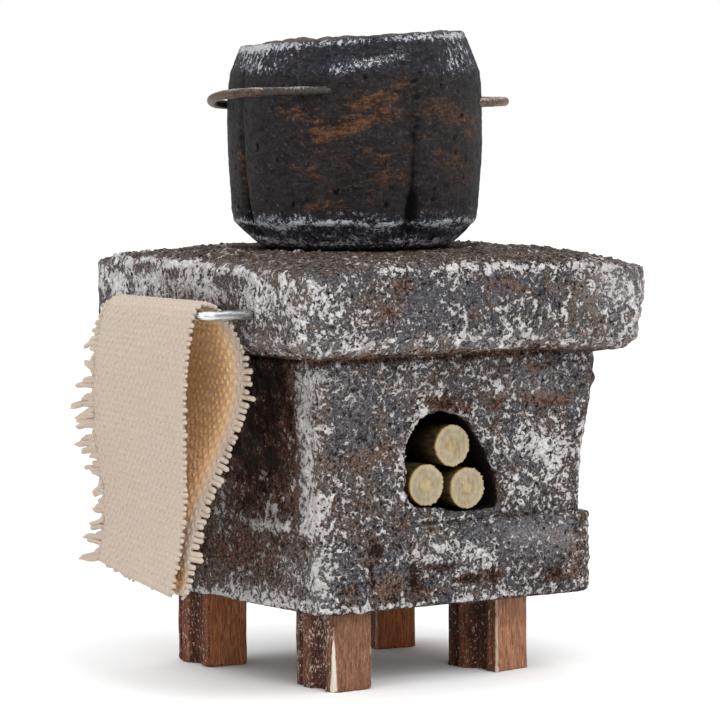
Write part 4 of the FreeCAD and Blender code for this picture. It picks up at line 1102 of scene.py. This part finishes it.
    # camera-side patches, by azimuth about the pot and height
    rus = (-0.20 + 1.05 * streak(-141, 52.2, -106, 54.6, 0.8) + 0.85 * streak(-124, 55.4, -102, 56.6, 1.1)
           + 0.6 * streak(-152, 55.0, -142, 53.4, 0.9) + 0.7 * streak(-126, 47.6, -112, 48.2, 0.7)
           + 0.9 * streak(-85, 54.8, -58, 53.0, 1.7) + 1.0 * streak(-146, 45.6, -131, 45.9, 0.6)
           + 0.8 * streak(-190, 50.5, -186, 46.0, 0.8) + 0.7 * streak(-84, 50.4, -62, 48.2, 1.2)
           + 0.7 * streak(-152, 49.6, -141, 48.8, 0.8) + 0.6 * streak(-118, 50.6, -104, 48.4, 0.7)
           + 0.6 * streak(-160, 54.6, -150, 54.2, 0.7) + 0.35 * ad(-130, 30) * zd(51.5, 5.0)
           + 0.25 * ad(100, 40) * zd(52, 5) + 0.3 * ad(20, 30) * zd(50, 4) + 0.25 * fbm(P / 3.0, 2, 0.5, 107))
    sh = sstep(zz, 57.4, 58.8)
    wht = (-0.60 + 0.54 * sh * (0.4 + 0.6 * gn(P / 3.0, 108)) + 0.95 * np.exp(-((lip + 0.35) / 0.38) ** 2)
           + 0.55 * sh * sstep(-((az + 172 + 180) % 360 - 180), -22, 10) * ad(-178, 30)
           + 0.85 * streak(-133, 58.6, -103, 59.9, 0.75) + 0.55 * ad(-68, 17) * zd(59.4, 1.7)
           + 0.80 * led + 0.55 * zd(42.0, 0.5) * sstep(gn(P / np.array([1.8, 1.8, 1.0]), 119), -0.5, 0.1) + 0.36 * sstep(44.9 - zz, 0, 0.6) + 0.34 * sstep(44.6 - zz, 0, 0.6) * sstep(gn(P / np.array([3.0, 3.0, 0.7]), 115), -0.1, 0.5)
           + 0.12 * ad(175, 40) * zd(50, 8) + 0.20 * fbm(P / 3.6, 2, 0.5, 109))
    scr = np.clip(0.06 + 1.0 * ad(-66, 17) * zd(59.4, 1.9) + 0.7 * ad(-172, 26) * sh + 0.25 * ad(-150, 30) * zd(56, 4), 0, 1)
    blu = np.clip(0.30 + 0.7 * sh + 0.5 * sstep(45.0 - zz, 0, 1.0) + 0.5 * fbm(P / 4.0, 2, 0.5, 116), 0, 1)
    zb = sstep(zz, 41.35, 41.9)
    wht = np.where(onf, wht * zb - 0.3 * (1 - zb) + 0.27 * sstep(44.8 - zz, 0, 0.5), -0.8)
    F = grid_faces(n, nt)
    caps = [np.arange(nt)[::-1][None], ((n - 1) * nt + np.arange(nt))[None]]
    return piece("cooking_pot", V, [F] + caps, "pot", ["pot_shell"], POT_LOOK,
                 dict(hm=hm, rus=rus, wht=wht, scr=scr, blu=blu))


def fill_look():
    L = Look("pot_fill")
    a = L.noise(L.P, 1.7, 5.0, 0.6, 0.4)
    b = L.noise(L.P, 5.0, 4.0, 0.6)
    hm = L.attr("hm")
    col = L.mix(L.step(a, 0.36, 0.66), srgb(44, 33, 27), srgb(92, 74, 60))
    col = L.mix(L.step(b, 0.5, 0.75, 0.0, 0.5), col, srgb(126, 106, 88))
    col = L.mix(L.step(hm, -0.8, 0.1, 0.7, 0.0), col, srgb(26, 17, 12))
    nrm = L.bump(L.m("ADD", b, a), 0.00022, 0.9)
    return L.done(col, L.step(b, 0.3, 0.7, 0.45, 0.8), nrm, Specular_IOR_Level=0.4)


FILL_LOOK = fill_look()


def make_fill():
    nt, nr = 260, 62
    th = np.arange(nt) * 2 * np.pi / nt
    rad = np.concatenate([np.linspace(0.25, 9.42, nr), [9.42] * 7, [8.0, 4.0, 1.0]])
    drop = np.concatenate([np.zeros(nr), [0.5, 1.2, 2.4, 5.0, 8.0, 11.0, 14.4], [14.9, 14.9, 14.9]])
    n = len(rad)
    T = np.broadcast_to(th, (n, nt))
    X = rad[:, None] * np.cos(T)
    Y = rad[:, None] * np.sin(T)
    top = rim_height(X, Y)
    Zz = top + 0.12 - drop[:, None]
    P = np.stack([X, Y, Zz], 2).reshape(-1, 3)
    F1, F2, rid = worley(P / 2.2, 121)
    lump = sstep(0.85 - F1, 0.0, 0.75) * (0.5 + 0.9 * rid)
    mid = fbm(P / 1.1, 3, 0.55, 122)
    on = np.repeat((drop < 0.1).astype(float), nt)
    rim = np.repeat(sstep(rad, 9.0, 9.42) * (drop < 0.1), nt)
    big = sstep(gn(P / 4.0, 123), -0.15, 0.5)
    right_ = P[:, 0] * RIM_DIR[0] + P[:, 1] * RIM_DIR[1]
    big = np.clip(big + 1.2 * np.exp(-((right_ + 6.2) / 1.4) ** 2), 0, 1.4) * sstep(6.0 - right_, 0.0, 3.0)
    dz = on * (0.42 * lump * (0.35 + 0.65 * big) + 0.12 * mid - 0.10) - rim * 0.2
    V = P + np.array([POT_C[0], POT_C[1], 0])
    V[:, 2] += dz
    hm = 1.2 * lump + 0.5 * mid - 0.7
    F = grid_faces(n, nt, flip=True)
    caps = [np.arange(nt)[None], ((n - 1) * nt + np.arange(nt))[::-1][None]]
    # rows run from the middle outwards and down, so the faces turn the other way
    return piece("pot_filling", V, [F[:, ::-1]] + [c[:, ::-1] for c in caps], "pot", ["pot_contents"], FILL_LOOK, dict(hm=hm))


def handle_look():
    L = Look("handle_wire")
    a = L.noise(L.P, 2.6, 5.0, 0.62, 0.3)
    b = L.noise(L.P, 7.0, 3.0, 0.6)
    wear_and_highlight, brown = L.attr("wear_and_highlight"), L.attr("brown")
    col = L.mix(L.step(a, 0.36, 0.62), srgb(14, 12, 12), srgb(46, 36, 28))
    col = L.mix(L.m("MULTIPLY", brown, 0.8), col, L.mix(L.step(a, 0.40, 0.60), srgb(44, 28, 19), srgb(112, 74, 44)))
    # grey-white along the top of the wire: worn paint and a painted highlight
    col = L.mix(L.step(L.m("ADD", b, L.m("MULTIPLY", wear_and_highlight, 0.34)), 0.66, 0.88), col, srgb(200, 198, 196))
    nrm = L.bump(L.m("ADD", a, L.m("MULTIPLY", b, 0.4)), 0.00010, 0.8)
    return L.done(col, L.step(b, 0.3, 0.7, 0.34, 0.6), nrm, Metallic=0.10, Specular_IOR_Level=0.45)


HANDLE_LOOK = handle_look()


def make_handle(name, off, rr, z0, tilt, a0, a1, seed, brown):
    m = 260
    ph = np.radians(np.linspace(a0, a1, m))
    px, py = rr * np.cos(ph), rr * np.sin(ph)
    t = math.radians(tilt)
    path = np.stack([POT_C[0] + off + px, POT_C[1] + py * math.cos(t), z0 + py * math.sin(t)], 1)
    path[:, 2] += 0.07 * np.sin(ph * 2.3 + seed) + 0.03 * gn(path / 2.0, seed)
    path[:, 2] += 0.28 * np.exp(-((np.degrees(ph) - 180.0) / 42.0) ** 2)
    side = rmf(path, (0, 0, 1.0))
    ra = 0.44 + 0.03 * gn(path / 1.3, seed + 1)
    rb = 0.46 + 0.03 * gn(path / 1.3 + 5, seed + 2)
    V, faces = sweep(path[None], ra[None], rb[None], 24, side[None])
    th = np.tile(np.arange(24) * 2 * np.pi / 24, m)
    # strongest on the top of the wire: worn paint and a painted highlight
    wear_and_highlight = np.clip(np.cos(th) * 0.9, 0, 1) * (0.65 + 0.5 * gn(V / 2.2, seed + 4)) + 0.25 * gn(V / 0.8, seed + 5)
    return piece(name + "_wire", V, faces, "pot", [name], HANDLE_LOOK,
                 dict(wear_and_highlight=wear_and_highlight, brown=np.full(len(V), brown) + 0.6 * sstep(-V[:, 0], 14.6, 15.4)))


# ------------------------------------------------------------------ towel rail
def rail_look():
    L = Look("rail_wire")
    a = L.noise(L.vec(L.P, (0.5, 0.5, 6.0)), 2.2, 4.0, 0.6)
    b = L.noise(L.P, 6.0, 3.0, 0.6)
    col = L.mix(L.step(a, 0.38, 0.64), srgb(176, 181, 185), srgb(232, 235, 237))
    col = L.mix(L.step(b, 0.58, 0.78, 0.0, 0.45), col, srgb(112, 112, 110))
    nrm = L.bump(a, 0.00003, 0.6)
    return L.done(col, L.step(a, 0.3, 0.7, 0.20, 0.36), nrm, Metallic=1.0)


RAIL_LOOK = rail_look()


def make_rail():
    x0, z0, ya, yb, end, b = -25.40, 35.85, -10.0, 8.4, -16.3, 0.95
    arc = np.linspace(0, np.pi / 2, 14)
    p = [np.stack([np.linspace(end, x0 + b, 60)[:-1], np.full(59, ya)], 1),
         np.stack([x0 + b - b * np.sin(arc), ya + b - b * np.cos(arc)], 1),
         np.stack([np.full(90, x0), np.linspace(ya + b, yb - b, 92)[1:-1]], 1),
         np.stack([x0 + b - b * np.cos(arc), yb - b + b * np.sin(arc)], 1),
         np.stack([np.linspace(x0 + b, end, 60)[1:], np.full(59, yb)], 1)]
    p = np.concatenate(p)
    path = np.stack([p[:, 0], p[:, 1], np.full(len(p), z0)], 1)
    inside = sstep(-path[:, 0], 20.0, 21.0)
    path[:, 2] += inside * (0.03 * gn(path / 3.0, 131))
    rad = 0.475 + 0.008 * gn(path / 1.0, 132)
    V, faces = sweep(path[None], rad[None], rad[None], 28, (0, 0, 1.0))
    return piece("towel_bar", V, faces, "stove", ["towel_rail"], RAIL_LOOK)


# ------------------------------------------------------------------ towel
# middle line of the folded strip at the rail, front foot -> fold -> back foot
TOWEL_LINE = np.array([(-28.62, 9.5), (-28.32, 11.0), (-27.80, 13.2), (-27.40, 15.3), (-27.14, 17.5), (-27.01, 19.5),
                       (-27.03, 21.5), (-27.10, 24.0), (-27.15, 27.0), (-27.08, 30.0), (-26.90, 32.0), (-26.66, 33.6),
                       (-26.42, 34.8), (-26.20, 35.8), (-25.86, 36.52), (-25.25, 36.92), (-24.50, 36.95),
                       (-23.50, 36.40), (-22.55, 35.05), (-21.75, 32.5), (-21.42, 30.4), (-21.50, 28.7),
                       (-21.80, 27.1), (-22.45, 25.1), (-23.05, 23.7), (-24.25, 21.5), (-25.45, 19.0),
                       (-26.10, 17.2), (-26.55, 15.3), (-27.00, 13.2), (-27.52, 11.0), (-27.86, 9.5)])
TOWEL_Y0, TOWEL_Y1 = -9.2, 7.0
LINE_N = 1500


def smooth_line(pts, n):
    """Even points along a smooth curve through pts."""
    d = np.concatenate([[0], np.cumsum(np.linalg.norm(np.diff(pts, axis=0), axis=1))])
    t = np.linspace(0, d[-1], 1600)
    q = np.stack([np.interp(t, d, pts[:, k]) for k in range(2)], 1)
    k = np.exp(-np.linspace(-2, 2, 55) ** 2)
    k /= k.sum()
    ext = np.concatenate([q[:1] + (q[:1] - q[27:0:-1]), q, q[-1:] + (q[-1:] - q[-2:-29:-1])])
    q = np.stack([np.convolve(ext[:, c], k, mode="valid") for c in range(2)], 1)
    d = np.concatenate([[0], np.cumsum(np.linalg.norm(np.diff(q, axis=0), axis=1))])
    t = np.linspace(0, d[-1], n)
    return np.stack([np.interp(t, d, q[:, c]) for c in range(2)], 1), d[-1]


LINE, LINE_LEN = smooth_line(TOWEL_LINE, LINE_N)
_t = np.gradient(LINE, axis=0)
_t /= np.linalg.norm(_t, axis=1)[:, None]
LINE_NRM = np.stack([_t[:, 1] * -1, _t[:, 0]], 1)      # points to the outside of the fold
LINE_S = np.linspace(0, LINE_LEN, LINE_N)
TOP_S = LINE_S[LINE[:, 1].argmax()]


def cloth(p, y, off):
    """Point on the cloth: p from 0 (front foot) to 1 (back foot), y across, off mm to the outside."""
    p, y, off = np.broadcast_arrays(np.asarray(p, float), np.asarray(y, float), np.asarray(off, float))
    yc = np.clip(y, TOWEL_Y0, TOWEL_Y1)
    zf = 9.85 + (yc + 9.2) * (1.90 / 16.2)             # the cut follows the wefts, a little askew
    sf = np.interp(zf, LINE[:200, 1], LINE_S[:200])
    sb = np.interp(zf + 0.05, LINE[-1:-200:-1, 1], LINE_S[-1:-200:-1])
    sv = sf + (sb - sf) * p
    x, z = np.interp(sv, LINE_S, LINE[:, 0]), np.interp(sv, LINE_S, LINE[:, 1])
    nx, nz = np.interp(sv, LINE_S, LINE_NRM[:, 0]), np.interp(sv, LINE_S, LINE_NRM[:, 1])
    l = np.hypot(nx, nz)
    nx, nz = nx / l, nz / l
    v = np.clip((y - TOWEL_Y0) / (TOWEL_Y1 - TOWEL_Y0), -0.1, 1.15)
    back = sstep(sv, TOP_S - 2.0, TOP_S + 2.0)
    lowf = sstep(23.0 - z, 0.0, 12.0)
    # the foot is twisted: near edge out, far edge in; soft waves above
    x = x + lowf * (1 - back) * (0.60 - 0.80 * (1 - v)) + lowf * back * (0.06 + 0.30 * v)
    x = x + back * 0.75 * np.exp(-(v / 0.07) ** 2) * sstep(z, 14.0, 20.0) * sstep(36.0 - z, 0, 3.0)
    x = x + 0.12 * np.sin(v * 5.2 + z * 0.21) * sstep(34.5 - z, 0, 6) * sstep(z, 12, 20)
    yy = y - 0.65 * (1 - v) * lowf * back - 1.1 * v ** 2 * np.exp(-((z - 37.6) / 2.0) ** 2)
    yy = yy - 0.35 * (1 - v) * back * np.exp(-((z - 30.0) / 5.0) ** 2)
    yy = yy - 1.15 * sstep(v, 0.45, 1.0) * np.exp(-(np.maximum(np.abs(z - 15.0) - 2.6, 0) / 3.6) ** 2) * (0.35 + 0.65 * (1 - back))
    return np.stack([x + nx * off, yy, z + nz * off], -1)


def cloth_look():
    L = Look("canvas")
    tint, painted_inside_glow, glue, darkening, painted_top_glow = (L.attr(k) for k in ("tint", "painted_inside_glow", "glue", "darkening", "painted_top_glow"))
    fib = L.noise(L.P, 9.0, 4.0, 0.62, 0.3)
    spk = L.noise(L.P, 2.6, 3.0, 0.55)
    soft = L.noise(L.P, 0.30, 2.0, 0.5)
    col = L.mix(L.step(fib, 0.32, 0.70), srgb(172, 157, 141), srgb(191, 176, 160))
    col = L.mix(L.m("MULTIPLY", tint, 0.4), col, srgb(184, 169, 154))
    col = L.mix(L.step(spk, 0.60, 0.78, 0.0, 0.25), col, srgb(174, 154, 132))
    col = L.mix(L.step(soft, 0.40, 0.62, 0.0, 0.40), col, srgb(187, 169, 156))
    # inside of the fold: painted glow of light through the cloth and bounced inside the fold, lighter towards the top
    # against the shade of the fold and rail
    gold = L.mix(L.step(fib, 0.34, 0.68), srgb(204, 155, 101), srgb(214, 173, 125))
    gold = L.mix(painted_top_glow, gold, srgb(220, 180, 124))
    col = L.mix(L.m("MULTIPLY", painted_inside_glow, 0.94), col, gold)
    col = L.mix(glue, col, srgb(178, 130, 68))
    # the ground is darkened as painted shade between the threads; on the wefts it darkens towards the far edge
    col = L.mix(darkening, col, srgb(170, 152, 130))
    nrm = L.bump(fib, 0.00007, 0.8)
    return L.done(col, 0.88, nrm, Specular_IOR_Level=0.12, Sheen_Weight=0.2, Sheen_Roughness=0.6)


CLOTH_LOOK = cloth_look()


def cloth_marks(V, off):
    """Colour numbers shared by the cloth pieces; off > 0 on the outside of the fold."""
    x, y, z = V.T
    # inside faces of the fold, which take the painted glow
    painted_inside_glow = sstep(-off, 0.02, 0.12) * sstep(z, 9.0, 12.0) * (1 - sstep(z, 36.0, 36.9)) * sstep(y, -9.3, -7.8)
    glue = 0.85 * np.exp(-(((y + 8.9) / 0.9) ** 2 + ((z - 11.6) / 1.3) ** 2)) * sstep(-off, -0.1, 0.1)
    return painted_inside_glow, np.clip(glue, 0, 1)


def yarn_side(V, paths, outer, marks, sides):
    """Distance of every yarn vertex from the middle of the cloth, positive on the outside."""
    n = (outer - paths).reshape(-1, 3)
    n = n / (np.linalg.norm(n, axis=1)[:, None] + 1e-12)
    d = ((V - np.repeat(paths.reshape(-1, 3), sides, 0)) * np.repeat(n, sides, 0)).sum(1)
    return d + np.repeat(marks.reshape(-1), sides)


def make_towel():
    rng = np.random.RandomState(3)
    # ---- the continuous ground of the cloth, coloured a little darker as painted shade between the threads
    ns, ny = 260, 66
    p = np.linspace(0, 1, ns)[:, None] * np.ones((1, ny))
    y = np.linspace(TOWEL_Y0 + 0.05, TOWEL_Y1 - 0.05, ny)[None] * np.ones((ns, 1))
    A = cloth(p.ravel(), y.ravel(), 0.125)
    B = cloth(p.ravel(), y.ravel(), -0.125)
    V = np.concatenate([A, B])
    F = grid_faces(ns, ny, close_cols=False)
    m = ns * ny
    top = np.arange(ny - 1)
    q = (ns - 1) * ny + top
    r = np.arange(ns - 1) * ny
    r2 = r + ny - 1
    rims = [np.stack([top + 1, top, top + m, top + 1 + m], 1), np.stack([q, q + 1, q + 1 + m, q + m], 1),
            np.stack([r, r + ny, r + ny + m, r + m], 1), np.stack([r2 + ny, r2, r2 + m, r2 + ny + m], 1)]
    off = np.concatenate([np.full(m, 0.125), np.full(m, -0.125)])
    painted_inside_glow, glue = cloth_marks(V, off)
    ground = piece("towel_ground", V, [F, F[:, ::-1] + m] + rims, "hanging_towel", ["towel"], CLOTH_LOOK,
                   dict(painted_top_glow=sstep(V[:, 2], 24.0, 34.5), tint=np.full(len(V), 0.2), painted_inside_glow=painted_inside_glow, glue=glue, darkening=np.full(len(V), 0.20)))

    picks = 94
    pitch_p = 1.0 / (picks + 0.4)
    warp_n = 40
    pitch = (TOWEL_Y1 - TOWEL_Y0 - 0.35) / (warp_n - 1)
    # ---- wefts: doubled yarns, looped at the near edge
    nq = 96
    paths, ras, rbs, marks, outer = [], [], [], [], []
    for i in range(picks):
        pm = (i + 0.7) * pitch_p + rng.normal(0, 0.04) * pitch_p
        backs = pm > 0.5
        zq = cloth(pm, TOWEL_Y0, 0.0)[2]
        long_ = sstep(33.5 - zq, 0.0, 4.0) * (0.25 + 0.75 * sstep(zq, 10.5, 14.5)) if backs else 0.0
        out = 0.48 + 0.48 * long_ + rng.uniform(-0.2, 0.2) * (0.9 + 0.5 * long_)
        curl = rng.normal(0.0, 0.14) + long_ * rng.uniform(0.2, 0.9)
        far = TOWEL_Y1 + 0.10 + 0.25 * rng.rand()
        yy = np.linspace(TOWEL_Y0 - out, far, nq)
        ph = (yy - TOWEL_Y0 - 0.175) / pitch
        fl = sstep(yy, TOWEL_Y0 - 0.05, TOWEL_Y0 + 0.3)
        c = np.cos(np.pi * ph) * (1 if i % 2 else -1)
        o = 0.085 * c * fl + curl * (TOWEL_Y0 - yy).clip(0)
        sag = 0.12 * pitch_p * np.sin(i * 2.7) * (1 - fl)
        paths.append(cloth(pm + sag, yy, o))
        outer.append(cloth(pm + sag, yy, o + 1.0))
        e = np.clip((yy - yy[0]) / 0.24, 0, 1)
        rnd = np.sqrt(1 - (1 - e) ** 2) * 0.92 + 0.08
        w = 0.225 + 0.02 * rng.randn() + 0.035 * fl + 0.05 * (1 - fl) * long_
        ras.append(w * rnd)
        rbs.append((0.15 + (0.04 + 0.05 * long_) * (1 - fl)) * rnd)
        marks.append(o)
    paths, marks = np.array(paths), np.array(marks)
    V, faces = sweep(paths, np.array(ras), np.array(rbs), 7, (0.15, 0, 1.0))
    painted_inside_glow, glue = cloth_marks(V, yarn_side(V, paths, np.array(outer), marks, 7))
    painted_inside_glow = painted_inside_glow * sstep(V[:, 1], -9.3, -8.8)
    wefts = piece("towel_wefts", V, faces, "hanging_towel", [], CLOTH_LOOK,
                  dict(painted_top_glow=sstep(V[:, 2], 24.0, 34.5), tint=np.repeat(rng.rand(picks), nq * 7), painted_inside_glow=painted_inside_glow, glue=glue, darkening=0.2 * sstep(V[:, 1], 6.4, 7.2)))

    # ---- warps: they run along the strip and make the visible ovals
    nq = picks * 4
    pp = np.linspace(0.0, 1.0, nq)
    k = (pp / pitch_p) - 0.7
    paths, ras, rbs, marks, outer = [], [], [], [], []
    for w in range(warp_n):
        y0 = TOWEL_Y0 + 0.175 + w * pitch
        c = np.cos(np.pi * k) * (1 if w % 2 else -1)
        o = 0.135 * np.sign(c) * np.abs(c) ** 0.8
        N = np.stack([pp * 20.0, np.full(nq, w * 3.1), np.zeros(nq)], 1)
        yy = y0 + 0.03 * gn(N, 141)
        ends = rng.uniform(-0.004, 0.004, 2)
        paths.append(cloth(pp * (1 + ends[0]) + ends[1], yy, o))
        outer.append(cloth(pp * (1 + ends[0]) + ends[1], yy, o + 1.0))
        ras.append((0.160 + 0.055 * np.abs(c) ** 0.7) * (1 + 0.10 * gn(N * np.array([6.0, 1, 1]), 142)))
        rbs.append(np.full(nq, 0.125))
        marks.append(o)
    V, faces = sweep(np.array(paths), np.array(ras), np.array(rbs), 6, (0, 1.0, 0))
    painted_inside_glow, glue = cloth_marks(V, yarn_side(V, np.array(paths), np.array(outer), np.array(marks), 6))
    warps = piece("towel_warps", V, faces, "hanging_towel", [], CLOTH_LOOK,
                  dict(painted_top_glow=sstep(V[:, 2], 24.0, 34.5), tint=np.repeat(rng.rand(warp_n), nq * 6), painted_inside_glow=painted_inside_glow, glue=glue, darkening=np.zeros(len(V))))

    # ---- frayed far edge: loose ends of the wefts, in tufts
    paths, ras, tints = [], [], []
    nn = 16
    u = np.linspace(0, 1, nn)
    tufts = ((34.4, 0.9), (32.6, 1.3), (30.6, 1.6), (28.6, 2.3), (27.4, 2.2), (26.0, 2.5), (24.8, 2.4), (23.6, 2.2),
             (22.3, 2.0), (20.4, 2.1), (18.6, 1.5), (17.0, 1.6), (15.2, 1.8), (13.6, 2.3), (12.6, 1.9), (11.6, 1.6))
    for i in range(picks):
        p0 = (i + 0.7) * pitch_p
        z0 = cloth(p0, TOWEL_Y1, 0.0)[2]
        front = p0 < 0.5
        near = min(tufts, key=lambda q: abs(q[0] - z0))
        reach = 0.66 * near[1] * math.exp(-((z0 - near[0]) / 0.55) ** 2) + 0.30
        reach = min(reach, 0.7) if z0 > 35.2 else (reach if front else 0.6 * reach)
        lean = 0.75 if front else 0.25
        drop = 0.25 + 0.5 * abs(math.sin(near[0] * 3.7))
        for j in range(5 if front else 4):
            thick = j < 4
            ln = max(0.3, reach * rng.uniform(0.6, 1.05))
            a = 0.22 * math.sin(near[0] * 5.1) + rng.uniform(-0.05, 0.05)
            b_ = 0.35 * math.sin(near[0] * 2.9) + rng.uniform(-0.07, 0.07)
            c_ = near[0] * 1.7 + rng.uniform(-0.4, 0.4)
            pull = (near[0] - z0) * 0.50 * (near[1] > 1.2)
            base = cloth(p0 + rng.uniform(-0.3, 0.3) * pitch_p, TOWEL_Y1 - 0.3, rng.uniform(-0.1, 0.1))
            P0 = np.tile(base, (nn, 1))
            P0[:, 1] += (ln + 0.3) * u * 0.80
            P0[:, 0] -= ln * (lean + a) * u ** 1.4 + 0.10 * np.sin(u * 5 + c_)
            P0[:, 2] += pull * u - drop * ln * u ** 1.5 * 0.6 + b_ * ln * u + 0.12 * np.sin(u * 5.5 + c_) * u
            paths.append(P0)
            ras.append((0.225 if thick else 0.08) * np.sqrt(np.clip(1 - (np.maximum(u - 0.86, 0) / 0.14) ** 2, 0.03, 1)) * (1 - 0.06 * u) * rng.uniform(0.85, 1.1))
            tints.append(rng.rand() * 0.3)
    V, faces = sweep(np.array(paths), np.array(ras), np.array(ras), 6, (1.0, 0.3, 0.2))
    zero = np.zeros(len(V))
    fringe = piece("towel_fringe", V, faces, "hanging_towel", [], CLOTH_LOOK,
                   dict(painted_top_glow=sstep(V[:, 2], 24.0, 34.5), tint=np.repeat(tints, nn * 6), painted_inside_glow=zero, glue=zero, darkening=zero))

    # ---- dried glue between the two ends
    m = 150
    gy = np.linspace(TOWEL_Y0 + 0.15, TOWEL_Y1 - 0.6, m)
    a_, b_ = cloth(0.012, gy, -0.1), cloth(0.988, gy, -0.1)
    mid = (a_ + b_) / 2
    gap = np.linalg.norm(a_ - b_, axis=1)
    mid[:, 2] += 0.55 + 0.2 * gn(mid / 1.5, 146)
    rad = (0.60 + 0.15 * gn(mid / 0.9, 147)) * np.sqrt(np.clip(1 - (2 * np.linspace(0, 1, m) - 1) ** 8, 0.02, 1))
    V, faces = sweep(mid[None], (gap * 0.5 * np.minimum(rad / 0.60, 1.0) * 0.72)[None], (rad * 1.3)[None], 14, (1.0, 0, 0))
    V = V + 0.03 * np.stack([gn(V / 0.5, 148), gn(V / 0.5, 149), gn(V / 0.5, 150)], 1)
    one = np.ones(len(V))
    blob = piece("towel_glue", V, faces, "hanging_towel", [], CLOTH_LOOK,
                 dict(painted_top_glow=sstep(V[:, 2], 24.0, 34.5), tint=0 * one, painted_inside_glow=0 * one, glue=one, darkening=0 * one))
    return ground


# ------------------------------------------------------------------ build
make_slab()
make_body()
make_base()
for _n, (_x, _y, _t2, _s) in LEGS.items():
    make_leg(_n, _x, _y, _t2, _s)
make_log("log_lower_left", "stick_lower_left", -2.90, 19.08, 201)
make_log("log_lower_right", "stick_lower_right", 1.92, 18.52, 211)
make_log("log_upper", "stick_upper", 0.18, 22.72, 221)
make_pot()
make_fill()
make_handle("pot_handle_left", -6.4, 8.6, 55.90, -4.9, 92.0, 268.0, 151, 0.0)
make_handle("pot_handle_right", 7.5, 8.6, 55.45, 1.2, -93.9, 93.9, 161, 1.0)
make_rail()
make_towel()

# ------------------------------------------------------------------ stage, light, camera
floor_me = bpy.data.meshes.new("floor")
floor_me.from_pydata([(2.2 * math.cos(k * math.pi / 48), 2.2 * math.sin(k * math.pi / 48), 0) for k in range(96)], [],
                     [tuple(range(96))])
floor = add_object("floor", floor_me)
FL = Look("floor_paper")
fl_n = FL.noise(FL.P, 0.02, 2.0, 0.5)
floor_me.materials.append(FL.done(FL.mix(FL.step(fl_n, 0.3, 0.7), (0.93, 0.93, 0.93), (0.95, 0.95, 0.95)), 0.9, None,
                                  Specular_IOR_Level=0.05))

world = bpy.data.worlds.new("studio")
bpy.context.scene.world = world
world.use_nodes = True
wt = world.node_tree
bg = wt.nodes["Background"]
bg.inputs[0].default_value = (1.0, 1.0, 1.0, 1.0)
bg.inputs[1].default_value = 0.66
seen = wt.nodes.new("ShaderNodeBackground")
seen.inputs[0].default_value = (1.0, 1.0, 1.0, 1.0)
seen.inputs[1].default_value = 1.0
path = wt.nodes.new("ShaderNodeLightPath")
mixw = wt.nodes.new("ShaderNodeMixShader")
wt.links.new(path.outputs["Is Camera Ray"], mixw.inputs[0])
wt.links.new(bg.outputs[0], mixw.inputs[1])
wt.links.new(seen.outputs[0], mixw.inputs[2])
wt.links.new(mixw.outputs[0], wt.nodes["World Output"].inputs[0])


def area(name, loc, target, size, power, color=(1, 1, 1)):
    ld = bpy.data.lights.new(name, "AREA")
    ld.shape = "RECTANGLE"
    ld.size, ld.size_y = size
    ld.energy = power
    ld.color = color
    ob = bpy.data.objects.new(name, ld)
    bpy.context.scene.collection.objects.link(ob)
    ob.location = loc
    d = Vector(target) - Vector(loc)
    ob.rotation_euler = d.to_track_quat("-Z", "Y").to_euler()
    return ob


TARGET = (0.002, 0, 0.030)
area("key", (-0.06, -0.42, 0.34), TARGET, (0.28, 0.26), 0.95)
area("left", (-0.46, -0.14, 0.20), TARGET, (0.26, 0.34), 0.42)
area("right", (0.42, -0.26, 0.22), TARGET, (0.30, 0.40), 0.26)
area("ceiling", (0.0, 0.0, 2.4), (0.0, 0.0, 0.0), (5.0, 5.0), 80.0)

cam_d = bpy.data.cameras.new("camera")
cam_d.sensor_fit = "HORIZONTAL"
cam_d.sensor_width = 36.0
cam_d.lens = 36.0 * 4001.19 / 720.0
cam_d.clip_start = 0.01
cam_d.clip_end = 20.0
camera = bpy.data.objects.new("camera", cam_d)
bpy.context.scene.collection.objects.link(camera)
_az, _el, _roll, _dist = (math.radians(-34.675), math.radians(4.148), math.radians(-0.228), 0.39307)
_back = Vector((math.sin(_az) * math.cos(_el), -math.cos(_az) * math.cos(_el), math.sin(_el)))
_fwd = -_back
_right = _fwd.cross(Vector((0, 0, 1))).normalized()
_up = _right.cross(_fwd)
_r2 = _right * math.cos(_roll) + _up * math.sin(_roll)
_u2 = -_right * math.sin(_roll) + _up * math.cos(_roll)
_pos = Vector(((-0.740 + SX) * MM, 0.345 * MM, 30.127 * MM)) + _back * _dist
camera.matrix_world = Matrix(((_r2.x, _u2.x, _back.x, _pos.x), (_r2.y, _u2.y, _back.y, _pos.y),
                              (_r2.z, _u2.z, _back.z, _pos.z), (0, 0, 0, 1)))
bpy.context.scene.camera = camera
bpy.context.scene.view_settings.view_transform = "Standard"
